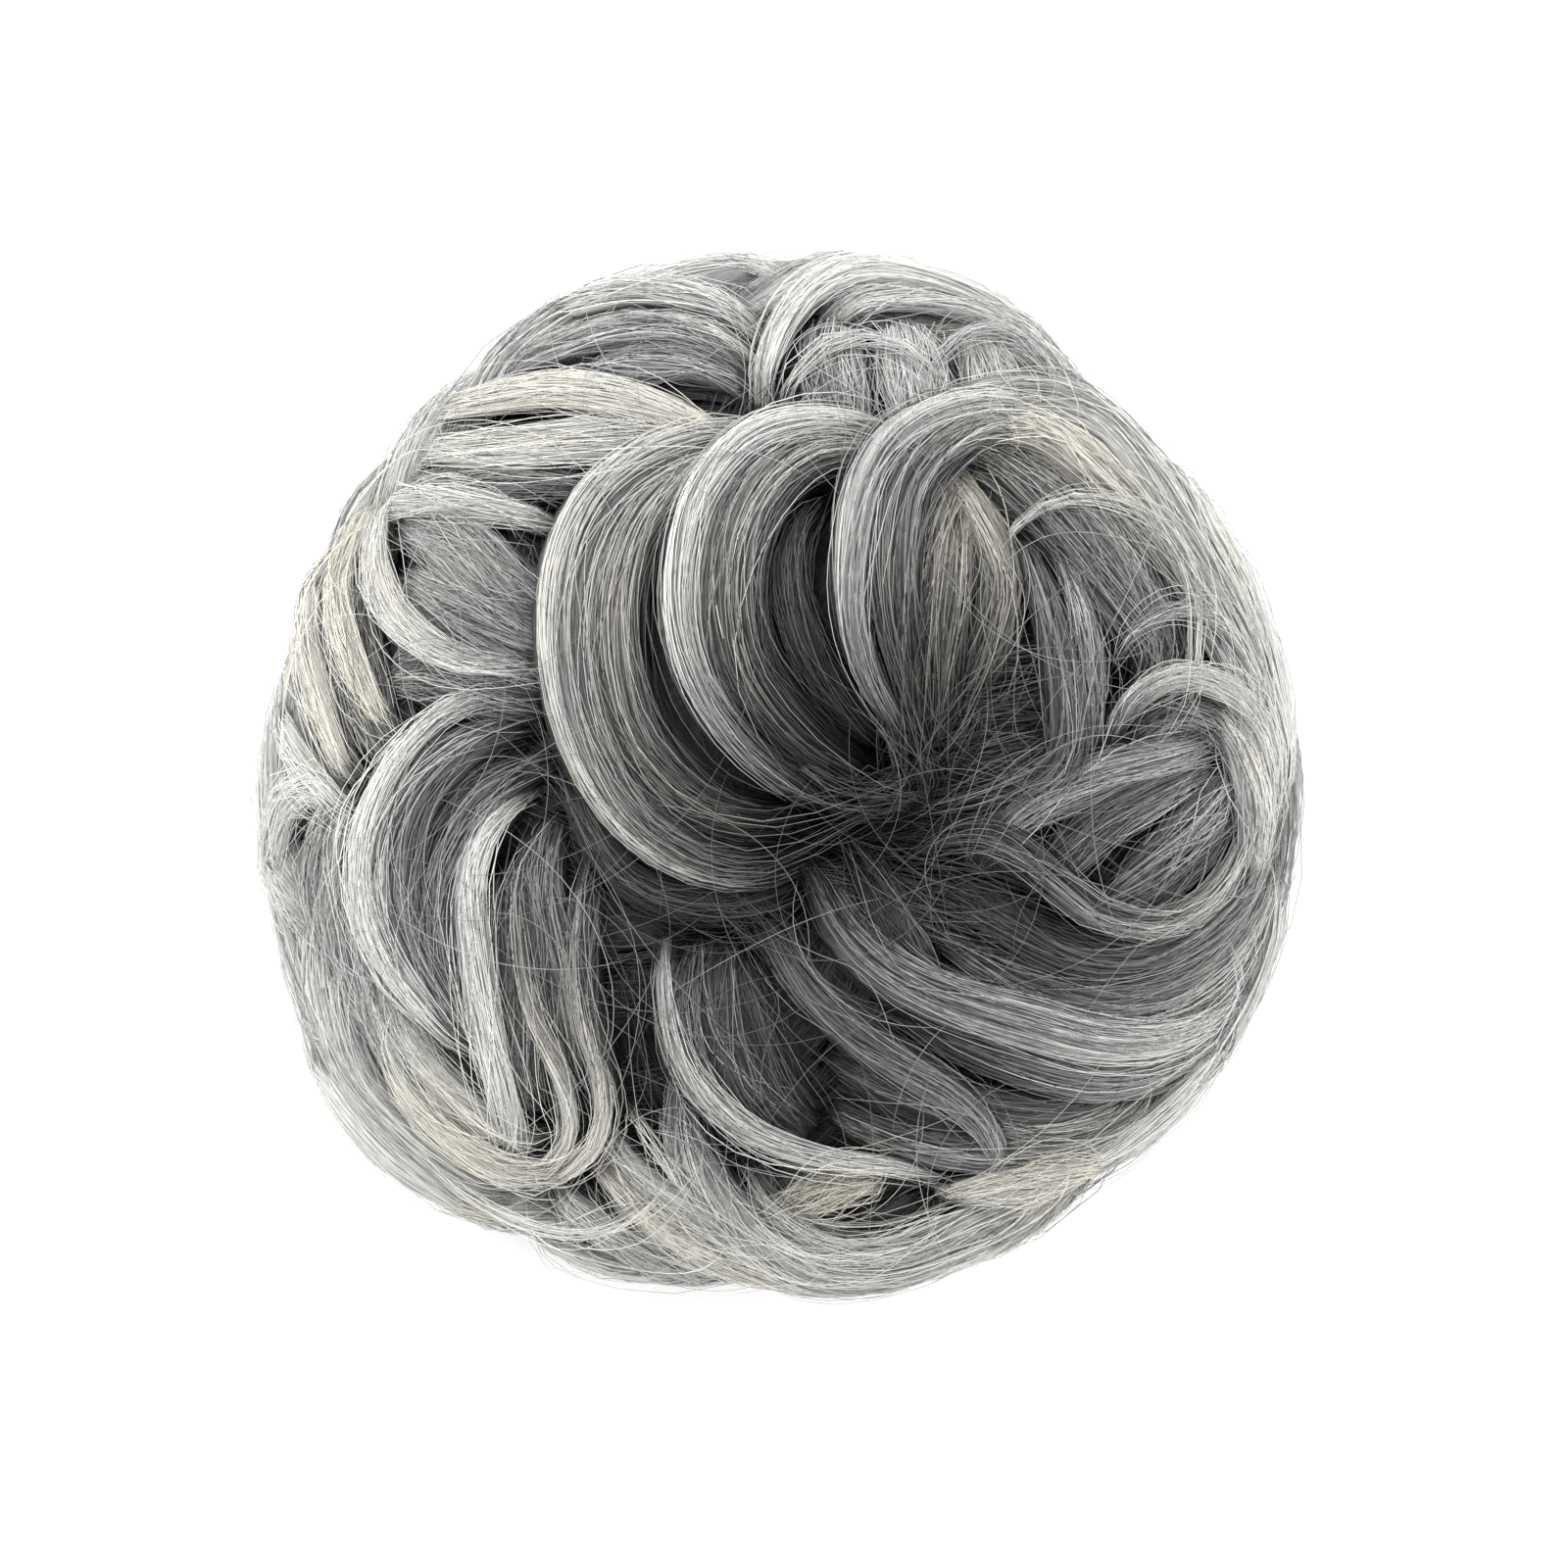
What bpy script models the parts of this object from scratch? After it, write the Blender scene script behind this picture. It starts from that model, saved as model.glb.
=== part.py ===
"""A top knot hairpiece: curled locks of false hair fused round a weft that is sewn to an elastic band.

Metres, +Z up. The origin is on the floor under the middle of the elastic band. +Y is the top of the
piece as it is seen from above.
"""

import math
import random
from typing import NamedTuple

import bmesh
import bpy
from mathutils import Matrix, Vector

# The bun as a whole
BUN_WIDTH = 0.150
BUN_HEIGHT = 0.072
WIDEST_HEIGHT = 0.030
ROUNDNESS = 2.25
CROWN_RELIEF = 0.0085
KNOT_DEPTH = 0.013
KNOT_SPREAD = 0.019

# The elastic band, and the weft ring that is wound and sewn round it
BAND_BORE = 0.045
BAND_CORD = 0.006
WEFT_WALL = 0.0038
WEFT_LIP = 0.0017
CLEARANCE = 0.0003

# The hollow that the wearer's own hair fills
HOLLOW_HEIGHT = 0.036
HOLLOW_FILLET = 0.0065

# The locks
LOCK_FLATNESS = 0.5
LOCK_THINNEST = 0.0040
BACKING_DEPTH = 0.0048
FLOOR_LIFT = 0.0006
SIDE_LOCKS = 24
SIDE_LOCK_WIDTH = 0.0130
SIDE_LOCK_RELIEF = 0.0022
SIDE_LOCK_TURN = 58.0
SIDE_LOCK_LOWEST = 152.0
SIDE_LOCK_HIGHEST = 66.0

# How finely the shapes are divided
BAND_SEGMENTS = 40
BAND_SIDES = 10
LOCK_SIDES = 10
LOCK_STATIONS = 14
VOXELS_ACROSS = 110
KEPT_SHARE = 0.062
SHARPEST_FOLD = math.radians(125)
FLAT_FOLD = math.radians(165)

HALF_WIDTH = BUN_WIDTH / 2
KNOT_X = 0.11 * HALF_WIDTH
KNOT_Y = -0.10 * HALF_WIDTH
BAND_MIDDLE = BAND_BORE / 2 + BAND_CORD / 2
GROOVE_RADIUS = BAND_CORD / 2 + CLEARANCE
WEFT_HEIGHT = 2 * (GROOVE_RADIUS + WEFT_LIP)
WEFT_OUTER = BAND_MIDDLE + GROOVE_RADIUS + WEFT_WALL
LOCK_HALF_THICKNESS = 0.0035
FLOW_RADIUS = HALF_WIDTH - LOCK_HALF_THICKNESS
FLOW_RISE = BUN_HEIGHT - CROWN_RELIEF - WIDEST_HEIGHT


class Bulge(NamedTuple):
    """Where the outline leaves a true circle: a direction in degrees, a share of the radius, and how
    many degrees it fades over."""

    azimuth: float
    share: float
    spread: float


OUTLINE_BULGES = (
    Bulge(azimuth=225, share=0.065, spread=22),
    Bulge(azimuth=90, share=0.029, spread=26),
    Bulge(azimuth=48, share=-0.035, spread=14),
    Bulge(azimuth=0, share=0.027, spread=22),
    Bulge(azimuth=182, share=-0.006, spread=20),
    Bulge(azimuth=268, share=-0.008, spread=22),
)


class Lock(NamedTuple):
    """A lock seen from above. Its width and its path are shares of the bun's half-width.

    lift is in shares too, above the surface that the locks flow over. bank is in degrees and raises
    the right-hand edge, for someone who walks from the lock's root to its tip.
    """

    name: str
    width: float
    lift: float
    bank: float
    path: tuple


CROWN_LOCKS = (
    Lock("curl_left", 0.20, 0.07, 16, ((-0.09, 0.64), (-0.27, 0.58), (-0.39, 0.41), (-0.41, 0.20),
                                       (-0.32, 0.00), (-0.14, -0.13), (0.08, -0.10))),
    Lock("curl_middle", 0.17, 0.10, 16, ((0.19, 0.64), (0.03, 0.63), (-0.11, 0.50), (-0.15, 0.32),
                                         (-0.06, 0.14), (0.08, 0.03), (0.22, -0.02))),
    Lock("curl_right", 0.17, 0.12, 14, ((0.40, 0.70), (0.25, 0.61), (0.17, 0.44), (0.17, 0.27),
                                        (0.24, 0.12), (0.29, 0.01))),
    Lock("ivory_drop", 0.12, 0.03, 0, ((0.28, 0.62), (0.35, 0.52), (0.39, 0.37), (0.38, 0.22),
                                       (0.34, 0.06))),
    Lock("grey_drop", 0.09, 0.06, 0, ((0.46, 0.49), (0.54, 0.35), (0.58, 0.20), (0.575, 0.07),
                                      (0.52, -0.03))),
    Lock("right_arch", 0.12, 0.05, -10, ((0.35, 0.70), (0.49, 0.71), (0.62, 0.63), (0.74, 0.50),
                                         (0.83, 0.35), (0.915, 0.18))),
    Lock("right_fill", 0.22, -0.03, 0, ((0.52, 0.50), (0.64, 0.38), (0.72, 0.24), (0.68, 0.10))),
    Lock("right_rim_high", 0.12, 0.00, 0, ((0.66, 0.69), (0.78, 0.59), (0.87, 0.44), (0.93, 0.27),
                                           (0.955, 0.10))),
    Lock("small_arch", 0.055, 0.05, 0, ((0.61, 0.075), (0.67, 0.16), (0.775, 0.185), (0.88, 0.12),
                                        (0.935, -0.01))),
    Lock("wing_high", 0.10, 0.05, 0, ((0.40, -0.11), (0.55, -0.02), (0.70, 0.04), (0.86, 0.075))),
    Lock("wing_low", 0.14, 0.01, 0, ((0.51, -0.17), (0.66, -0.10), (0.80, -0.02), (0.905, 0.07))),
    Lock("swirl_first", 0.09, 0.07, 10, ((0.28, -0.14), (0.43, -0.13), (0.57, -0.24), (0.72, -0.27),
                                         (0.86, -0.19), (0.94, -0.03))),
    Lock("swirl_second", 0.16, 0.04, 8, ((0.25, -0.23), (0.43, -0.30), (0.62, -0.37), (0.80, -0.32),
                                         (0.93, -0.16))),
    Lock("swirl_third", 0.12, 0.02, 8, ((0.38, -0.39), (0.57, -0.44), (0.75, -0.415),
                                        (0.88, -0.29), (0.95, -0.12))),
    Lock("right_rim_low", 0.12, 0.00, 0, ((0.66, -0.65), (0.81, -0.53), (0.92, -0.36),
                                          (0.965, -0.18))),
    Lock("sweep_first", 0.14, 0.08, 8, ((0.10, -0.13), (0.18, -0.28), (0.31, -0.39), (0.52, -0.46),
                                        (0.71, -0.47))),
    Lock("sweep_second", 0.12, 0.05, 8, ((0.03, -0.21), (0.12, -0.37), (0.28, -0.48), (0.49, -0.55),
                                         (0.70, -0.55), (0.81, -0.48))),
    Lock("hook", 0.09, 0.08, 0, ((-0.03, -0.29), (0.09, -0.43), (0.24, -0.53), (0.35, -0.62),
                                 (0.41, -0.75))),
    Lock("lower_fill", 0.16, 0.00, 0, ((0.15, -0.57), (0.34, -0.63), (0.53, -0.66),
                                       (0.68, -0.62))),
    Lock("crest", 0.07, 0.08, 0, ((-0.22, -0.32), (-0.21, -0.46), (-0.15, -0.59), (0.00, -0.70),
                                  (0.19, -0.755), (0.40, -0.79), (0.58, -0.775))),
    Lock("lower_drop", 0.18, 0.06, 0, ((-0.12, -0.30), (-0.11, -0.44), (-0.04, -0.58),
                                       (0.09, -0.69))),
    Lock("left_sweep", 0.115, 0.05, 14, ((-0.53, 0.17), (-0.70, 0.06), (-0.78, -0.10),
                                         (-0.775, -0.27), (-0.70, -0.425), (-0.585, -0.56))),
    Lock("left_inner", 0.15, 0.02, 0, ((-0.45, 0.09), (-0.60, -0.01), (-0.69, -0.16),
                                       (-0.68, -0.33), (-0.61, -0.50))),
    Lock("left_fall_first", 0.095, 0.07, 0, ((-0.45, -0.04), (-0.56, -0.16), (-0.59, -0.32),
                                             (-0.565, -0.53), (-0.525, -0.71))),
    Lock("left_fall_second", 0.085, 0.05, 0, ((-0.45, -0.18), (-0.475, -0.37), (-0.45, -0.54),
                                              (-0.415, -0.68))),
    Lock("left_fall_third", 0.095, 0.07, 0, ((-0.375, -0.16), (-0.39, -0.37), (-0.37, -0.54),
                                             (-0.355, -0.67), (-0.40, -0.745))),
    Lock("left_hook", 0.08, 0.04, 0, ((-0.37, -0.73), (-0.49, -0.75), (-0.65, -0.70),
                                      (-0.74, -0.575), (-0.77, -0.425))),
    Lock("white_loop", 0.075, 0.05, 0, ((-0.75, 0.555), (-0.77, 0.405), (-0.715, 0.275),
                                        (-0.60, 0.21), (-0.45, 0.20))),
    Lock("loop_fill", 0.20, -0.03, 0, ((-0.43, 0.42), (-0.55, 0.43), (-0.68, 0.44),
                                       (-0.74, 0.50))),
    Lock("white_band", 0.15, 0.03, 0, ((-0.13, 0.645), (-0.30, 0.69), (-0.49, 0.685),
                                       (-0.66, 0.66), (-0.75, 0.61))),
    Lock("back_left", 0.15, 0.00, 0, ((-0.03, 0.77), (-0.19, 0.87), (-0.38, 0.865), (-0.53, 0.81),
                                      (-0.625, 0.74))),
    Lock("back_top", 0.11, 0.00, 0, ((0.06, 0.915), (-0.09, 0.95), (-0.25, 0.945), (-0.40, 0.90))),
    Lock("back_fill", 0.13, -0.02, 0, ((-0.02, 0.70), (-0.13, 0.755), (-0.28, 0.77),
                                       (-0.43, 0.75))),
    Lock("top_curl", 0.10, 0.02, 0, ((-0.04, 0.68), (-0.015, 0.82), (0.075, 0.92), (0.23, 0.95),
                                     (0.41, 0.90), (0.56, 0.79), (0.62, 0.70))),
    Lock("top_fill", 0.20, -0.03, 0, ((0.06, 0.75), (0.15, 0.80), (0.28, 0.80), (0.45, 0.77),
                                      (0.56, 0.73))),
    Lock("outer_first", 0.075, 0.03, 0, ((-0.77, 0.53), (-0.85, 0.40), (-0.86, 0.25),
                                         (-0.80, 0.095))),
    Lock("outer_second", 0.08, 0.01, 0, ((-0.86, 0.48), (-0.905, 0.33), (-0.895, 0.16),
                                         (-0.83, 0.00))),
    Lock("outer_third", 0.08, 0.00, 0, ((-0.90, 0.41), (-0.955, 0.22), (-0.94, 0.065),
                                        (-0.85, -0.065))),
    Lock("outer_top", 0.09, 0.00, 0, ((-0.66, 0.70), (-0.78, 0.59), (-0.87, 0.47),
                                      (-0.93, 0.35))),
    Lock("low_arch", 0.08, 0.00, 0, ((-0.83, -0.10), (-0.92, -0.03), (-0.965, -0.14),
                                     (-0.965, -0.29), (-0.93, -0.41))),
    Lock("low_fall", 0.11, 0.01, 0, ((-0.85, -0.20), (-0.90, -0.31), (-0.885, -0.44),
                                     (-0.83, -0.56))),
    Lock("low_rim", 0.09, 0.00, 0, ((-0.97, -0.16), (-0.96, -0.33), (-0.915, -0.50),
                                    (-0.83, -0.65))),
    Lock("corner_inner", 0.12, 0.03, 0, ((-0.86, -0.50), (-0.78, -0.65), (-0.66, -0.765),
                                         (-0.49, -0.84))),
    Lock("corner_outer", 0.11, 0.02, 0, ((-0.90, -0.50), (-0.84, -0.61), (-0.755, -0.71),
                                         (-0.65, -0.79), (-0.50, -0.86))),
    Lock("base_first", 0.10, 0.03, 0, ((-0.34, -0.72), (-0.21, -0.83), (-0.07, -0.925),
                                       (0.10, -0.96))),
    Lock("base_second", 0.11, 0.02, 0, ((-0.49, -0.81), (-0.36, -0.90), (-0.19, -0.95),
                                        (0.00, -0.965))),
    Lock("base_third", 0.11, 0.04, 0, ((-0.27, -0.56), (-0.20, -0.71), (-0.10, -0.85),
                                       (0.04, -0.94))),
    Lock("base_ring", 0.09, 0.01, 0, ((-0.04, -0.77), (0.03, -0.88), (0.17, -0.915),
                                      (0.34, -0.88), (0.47, -0.81))),
    Lock("base_rim", 0.10, 0.00, 0, ((-0.04, -0.96), (0.15, -0.965), (0.34, -0.92),
                                     (0.52, -0.83), (0.61, -0.77))),
    Lock("ivory_base", 0.08, 0.04, 0, ((0.10, -0.79), (0.28, -0.815), (0.45, -0.79),
                                       (0.60, -0.76))),
)


def clear_scene():
    for old in list(bpy.data.objects):
        bpy.data.objects.remove(old)


def finish(name, colour, roughness):
    """A plain finish for one piece."""
    material = bpy.data.materials.new(name)
    material.use_nodes = True
    shader = material.node_tree.nodes["Principled BSDF"]
    shader.inputs["Base Color"].default_value = (*colour, 1)
    shader.inputs["Roughness"].default_value = roughness
    shader.inputs["Metallic"].default_value = 0.0
    return material


def add_object(name, mesh, material=None):
    obj = bpy.data.objects.new(name, mesh)
    bpy.context.scene.collection.objects.link(obj)
    if material:
        mesh.materials.clear()
        mesh.materials.append(material)
        mesh.shade_smooth()
        mesh.set_sharp_from_angle(angle=math.radians(50))
    return obj


def mesh_of(shape, name):
    mesh = bpy.data.meshes.new(name)
    shape.to_mesh(mesh)
    shape.free()
    return mesh


def turned(profile, name, segments=BAND_SEGMENTS):
    """A closed (radius, height) outline turned about the Z axis into a ring or a plug."""
    shape = bmesh.new()
    corners = [shape.verts.new((radius, 0, height)) for radius, height in profile]
    edges = [shape.edges.new((a, b)) for a, b in zip(corners, corners[1:] + corners[:1])]
    bmesh.ops.spin(shape, geom=corners + edges, cent=(0, 0, 0), axis=(0, 0, 1),
                   angle=math.tau, steps=segments, use_merge=True)
    bmesh.ops.remove_doubles(shape, verts=shape.verts, dist=1e-6)
    bmesh.ops.recalc_face_normals(shape, faces=shape.faces)
    return mesh_of(shape, name)


def arc(centre, radius, first, last, steps):
    """Points on an arc of a (radius, height) outline, from the first to the last angle in degrees."""
    angles = [math.radians(first + (last - first) * i / steps) for i in range(steps + 1)]
    return [(centre[0] + radius * math.cos(a), centre[1] + radius * math.sin(a)) for a in angles]


def knot_dip(x, y):
    """How far the surface sinks at the knot, where the locks meet."""
    away = ((x - KNOT_X) ** 2 + (y - KNOT_Y) ** 2) / KNOT_SPREAD**2
    return KNOT_DEPTH * math.exp(-away)


def outline_radius(azimuth):
    """The widest radius of the surface that the locks flow over, in one direction."""
    radius = FLOW_RADIUS
    for bulge in OUTLINE_BULGES:
        turn = (azimuth - bulge.azimuth + 180) % 360 - 180
        radius += FLOW_RADIUS * bulge.share * math.exp(-((turn / bulge.spread) ** 2))
    return radius


def on_bun(azimuth, polar, inset=0.0):
    """A point of the surface that the locks flow over, from its angle round the bun and its angle
    down from the top, both in degrees. inset moves the whole surface inwards."""
    turn = math.radians(azimuth)
    down = math.radians(polar)
    radius = (outline_radius(azimuth) - inset) * max(math.sin(down), 0.0) ** (2 / ROUNDNESS)
    rise = FLOW_RISE if polar <= 90 else WIDEST_HEIGHT
    height = (rise - inset) * abs(math.cos(down)) ** (2 / ROUNDNESS)
    x = radius * math.cos(turn)
    y = radius * math.sin(turn)
    if polar > 90:
        return Vector((x, y, WIDEST_HEIGHT - height))
    return Vector((x, y, WIDEST_HEIGHT + height - knot_dip(x, y)))


def above_plan(x, y):
    """The point of the same surface over a place in plan, given in shares of the half-width."""
    azimuth = math.degrees(math.atan2(y, x))
    share = min(math.hypot(x, y) * HALF_WIDTH / outline_radius(azimuth), 1.0)
    return on_bun(azimuth, math.degrees(math.asin(share ** (ROUNDNESS / 2))))


def outward(point):
    """The direction that faces away from the bun at a point on its surface."""

    def depth(p):
        rise = FLOW_RISE if p.z > WIDEST_HEIGHT else WIDEST_HEIGHT
        height = abs(p.z + (knot_dip(p.x, p.y) if p.z > WIDEST_HEIGHT else 0) - WIDEST_HEIGHT)
        widest = outline_radius(math.degrees(math.atan2(p.y, p.x)))
        return (math.hypot(p.x, p.y) / widest) ** ROUNDNESS + (height / rise) ** ROUNDNESS

    step = 0.0005
    axes = [Vector((step, 0, 0)), Vector((0, step, 0)), Vector((0, 0, step))]
    return Vector([depth(point + a) - depth(point - a) for a in axes]).normalized()


def spline(points, share):
    """A smooth curve through all the points, read at a share of its way from 0 to 1."""
    last = len(points) - 1
    place = min(share * last, last - 1e-9)
    i = int(place)
    t = place - i
    a, b, c, d = (points[min(max(k, 0), last)] for k in (i - 1, i, i + 1, i + 2))
    return 0.5 * (2 * b + (c - a) * t + (2 * a - 5 * b + 4 * c - d) * t**2
                  + (3 * b - a - 3 * c + d) * t**3)


def end_taper(share):
    """The width of a lock along its way: full in the middle and narrow where it tucks in."""
    return (1 - abs(2 * share - 1) ** 3.2) ** 0.5 * 0.8 + 0.2


def add_lock(shape, points, width, lift, bank):
    """Sweeps one flattened lock over the bun and closes its ends."""
    thickness = max(width * LOCK_FLATNESS, LOCK_THINNEST)
    rings = []
    for i in range(LOCK_STATIONS + 1):
        share = i / LOCK_STATIONS
        place = spline(points, share)
        along = (spline(points, min(share + 0.02, 1)) - spline(points, max(share - 0.02, 0)))
        away = outward(place)
        across = along.cross(away).normalized()
        away = across.cross(along).normalized()
        lean = Matrix.Rotation(math.radians(-bank) * math.sin(math.pi * share), 3, along.normalized())
        taper = end_taper(share)
        wide = lean @ across * (width / 2 * taper)
        deep = lean @ away * (thickness / 2 * taper)
        middle = place + away * lift * math.sin(math.pi * share) ** 0.5
        frame = Matrix((wide, deep, along.normalized())).transposed().to_4x4()
        frame.translation = middle
        ring = bmesh.ops.create_circle(shape, segments=LOCK_SIDES, radius=1, matrix=frame,
                                       cap_ends=i in (0, LOCK_STATIONS))
        rings.append(ring["verts"])
    for first, second in zip(rings, rings[1:]):
        loops = [edge for verts in (first, second) for edge in ring_edges(verts)]
        bmesh.ops.bridge_loops(shape, edges=loops)


def ring_edges(verts):
    members = set(verts)
    return {edge for v in verts for edge in v.link_edges if set(edge.verts) <= members}


def add_backing(shape):
    """The wound hair under the locks, set in from the surface that they flow over."""
    made = bmesh.ops.create_uvsphere(shape, u_segments=48, v_segments=24, radius=1)
    for vertex in made["verts"]:
        azimuth = math.degrees(math.atan2(vertex.co.y, vertex.co.x))
        polar = math.degrees(math.acos(max(-1.0, min(1.0, vertex.co.z))))
        vertex.co = on_bun(azimuth, polar, BACKING_DEPTH)


def add_side_locks(shape):
    """Curls that leave the weft under the bun and sweep up its side, one beside the other."""
    draw = random.Random(7)
    for i in range(SIDE_LOCKS):
        start = 360 * i / SIDE_LOCKS + draw.uniform(-4, 4)
        turn = SIDE_LOCK_TURN * draw.uniform(0.75, 1.25)
        sway = draw.uniform(-9, 9)
        points = []
        for t in (0, 0.2, 0.4, 0.6, 0.8, 1):
            polar = SIDE_LOCK_LOWEST + (SIDE_LOCK_HIGHEST - SIDE_LOCK_LOWEST) * t
            points.append(on_bun(start + turn * t**1.4 + sway * math.sin(math.tau * t), polar))
        width = SIDE_LOCK_WIDTH * draw.uniform(0.85, 1.2)
        lift = SIDE_LOCK_RELIEF * (draw.uniform(0.1, 0.9) if i % 2 else draw.uniform(-1.2, -0.6))
        add_lock(shape, points, width, lift, draw.uniform(-14, 14))


def untangle(shape):
    """Opens the surface where it pinches itself along an edge or at a corner, and closes it again
    with plain faces on each side of the pinch."""
    for _ in range(6):
        bmesh.ops.remove_doubles(shape, verts=shape.verts, dist=1e-6)
        pinched = {v for edge in shape.edges if len(edge.link_faces) != 2 for v in edge.verts}
        pinched |= {v for v in shape.verts if not v.is_manifold}
        shape.normal_update()
        pinched |= {v for edge in shape.edges if edge.calc_face_angle(0) > FLAT_FOLD
                    for v in edge.verts}
        if not pinched:
            break
        bmesh.ops.delete(shape, geom=list(pinched), context="VERTS")
        rims = [edge for edge in shape.edges if len(edge.link_faces) == 1]
        filled = bmesh.ops.holes_fill(shape, edges=rims, sides=0)
        bmesh.ops.triangulate(shape, faces=filled["faces"])


def unfold(shape):
    """Relaxes the places where the surface is folded nearly flat onto itself."""
    for _ in range(12):
        shape.normal_update()
        folded = {v for edge in shape.edges if edge.calc_face_angle(0) > SHARPEST_FOLD
                  for v in edge.verts}
        if not folded:
            break
        bmesh.ops.smooth_vert(shape, verts=list(folded), factor=0.5, use_axis_x=True,
                              use_axis_y=True, use_axis_z=True)


def outer_body(mesh):
    """The mesh without pinches and without the pockets that are sealed between the locks."""
    shape = bmesh.new()
    shape.from_mesh(mesh)
    untangle(shape)
    unfold(shape)
    untangle(shape)
    unseen = set(shape.verts)
    bodies = []
    while unseen:
        edge_of_search = [unseen.pop()]
        body = list(edge_of_search)
        while edge_of_search:
            vertex = edge_of_search.pop()
            for edge in vertex.link_edges:
                other = edge.other_vert(vertex)
                if other in unseen:
                    unseen.remove(other)
                    edge_of_search.append(other)
                    body.append(other)
        bodies.append(body)
    bodies.sort(key=len)
    for body in bodies[:-1]:
        bmesh.ops.delete(shape, geom=body, context="VERTS")
    bmesh.ops.recalc_face_normals(shape, faces=shape.faces)
    return mesh_of(shape, mesh.name)


def evaluated(obj):
    """The object's mesh with its modifiers applied."""
    graph = bpy.context.evaluated_depsgraph_get()
    return bpy.data.meshes.new_from_object(obj.evaluated_get(graph))


def build_band():
    """The elastic band: one round cord, joined into a ring."""
    profile = arc((BAND_MIDDLE, WEFT_HEIGHT / 2), BAND_CORD / 2, 0, 360, BAND_SIDES)[:-1]
    material = finish("elastic", (0.030, 0.030, 0.034), 0.8)
    return add_object("elastic_band", turned(profile, "elastic_band"), material)


def build_weft():
    """The sewn roots of the hair: a ring that grips the band from outside, flat underneath."""
    middle = WEFT_HEIGHT / 2
    bevel = WEFT_WALL * 0.3
    groove = arc((BAND_MIDDLE, middle), GROOVE_RADIUS, 90, -90, 6)
    profile = [
        (BAND_MIDDLE, 0),
        (WEFT_OUTER - bevel, 0),
        (WEFT_OUTER, bevel),
        (WEFT_OUTER, WEFT_HEIGHT - bevel),
        (WEFT_OUTER - bevel, WEFT_HEIGHT),
        (BAND_MIDDLE, WEFT_HEIGHT),
        *groove,
    ]
    material = finish("weft", (0.10, 0.10, 0.11), 0.75)
    return add_object("weft_ring", turned(profile, "weft_ring"), material)


def hollow_cutter():
    """The space for the weft ring and, above it, for the wearer's own hair."""
    below = -0.01
    bore = BAND_BORE / 2
    socket = WEFT_OUTER + CLEARANCE
    ledge = WEFT_HEIGHT + CLEARANCE
    ceiling = arc((bore - HOLLOW_FILLET, HOLLOW_HEIGHT - HOLLOW_FILLET), HOLLOW_FILLET, 0, 90, 4)
    profile = [(0, below), (socket, below), (socket, ledge), (bore, ledge), *ceiling,
               (0, HOLLOW_HEIGHT)]
    cutter = add_object("hollow_cutter", turned(profile, "hollow_cutter"))
    cutter.hide_render = True
    cutter.display_type = "WIRE"
    return cutter


def build_hair():
    """All the locks fused over their backing, then hollowed from below."""
    shape = bmesh.new()
    add_backing(shape)
    add_side_locks(shape)
    for lock in CROWN_LOCKS:
        points = [above_plan(x, y) for x, y in lock.path]
        add_lock(shape, points, lock.width * HALF_WIDTH, lock.lift * HALF_WIDTH, lock.bank)
    for vertex in shape.verts:
        vertex.co.z = max(vertex.co.z, FLOOR_LIFT)
    bmesh.ops.recalc_face_normals(shape, faces=shape.faces)
    loose = add_object("loose_locks", mesh_of(shape, "hair_locks"))
    fuse = loose.modifiers.new("fuse", "REMESH")
    fuse.mode = "VOXEL"
    fuse.voxel_size = BUN_WIDTH / VOXELS_ACROSS
    fused = add_object("fused_locks", outer_body(evaluated(loose)))
    smooth = fused.modifiers.new("smooth", "SMOOTH")
    smooth.iterations = 2
    thin_out = fused.modifiers.new("thin_out", "DECIMATE")
    thin_out.ratio = KEPT_SHARE
    thinned = outer_body(evaluated(fused))
    bpy.data.objects.remove(loose)
    bpy.data.objects.remove(fused)

    hair = add_object("hair_locks", thinned, finish("hair", (0.42, 0.43, 0.43), 0.45))
    cut = hair.modifiers.new("hollow", "BOOLEAN")
    cut.operation = "DIFFERENCE"
    cut.object = hollow_cutter()
    return hair


clear_scene()
build_band()
build_weft()
build_hair()
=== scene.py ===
# %% [markdown]
# # A top knot hairpiece of curled false hair
#
# The real object is a ready-made bun. Some thousands of silver and ivory strands are curled into locks,
# and the roots of the locks are sewn round a covered elastic band that hides underneath.
#
# The solid model already holds the outer form, so this lesson loads it and dresses it. The band and the
# sewn ring keep their solids and get a better finish. The fused hair is replaced by real strands.

# %% Load the solid model
import math
from typing import NamedTuple

import bmesh
import bpy
import numpy as np
from mathutils import Matrix, Vector


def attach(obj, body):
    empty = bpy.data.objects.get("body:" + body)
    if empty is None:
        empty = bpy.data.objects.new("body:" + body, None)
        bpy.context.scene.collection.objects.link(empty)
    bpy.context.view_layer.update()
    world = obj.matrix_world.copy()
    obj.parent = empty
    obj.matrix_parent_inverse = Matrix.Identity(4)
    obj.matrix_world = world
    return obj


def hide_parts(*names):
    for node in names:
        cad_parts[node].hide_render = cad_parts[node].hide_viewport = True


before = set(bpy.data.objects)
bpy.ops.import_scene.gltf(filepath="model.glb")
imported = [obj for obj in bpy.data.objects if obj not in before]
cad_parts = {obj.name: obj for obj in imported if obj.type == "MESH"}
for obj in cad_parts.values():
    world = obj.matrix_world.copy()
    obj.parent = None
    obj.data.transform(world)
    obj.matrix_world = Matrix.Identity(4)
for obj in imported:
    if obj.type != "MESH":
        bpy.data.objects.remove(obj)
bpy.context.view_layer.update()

print("solid pieces:", sorted(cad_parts))

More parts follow.
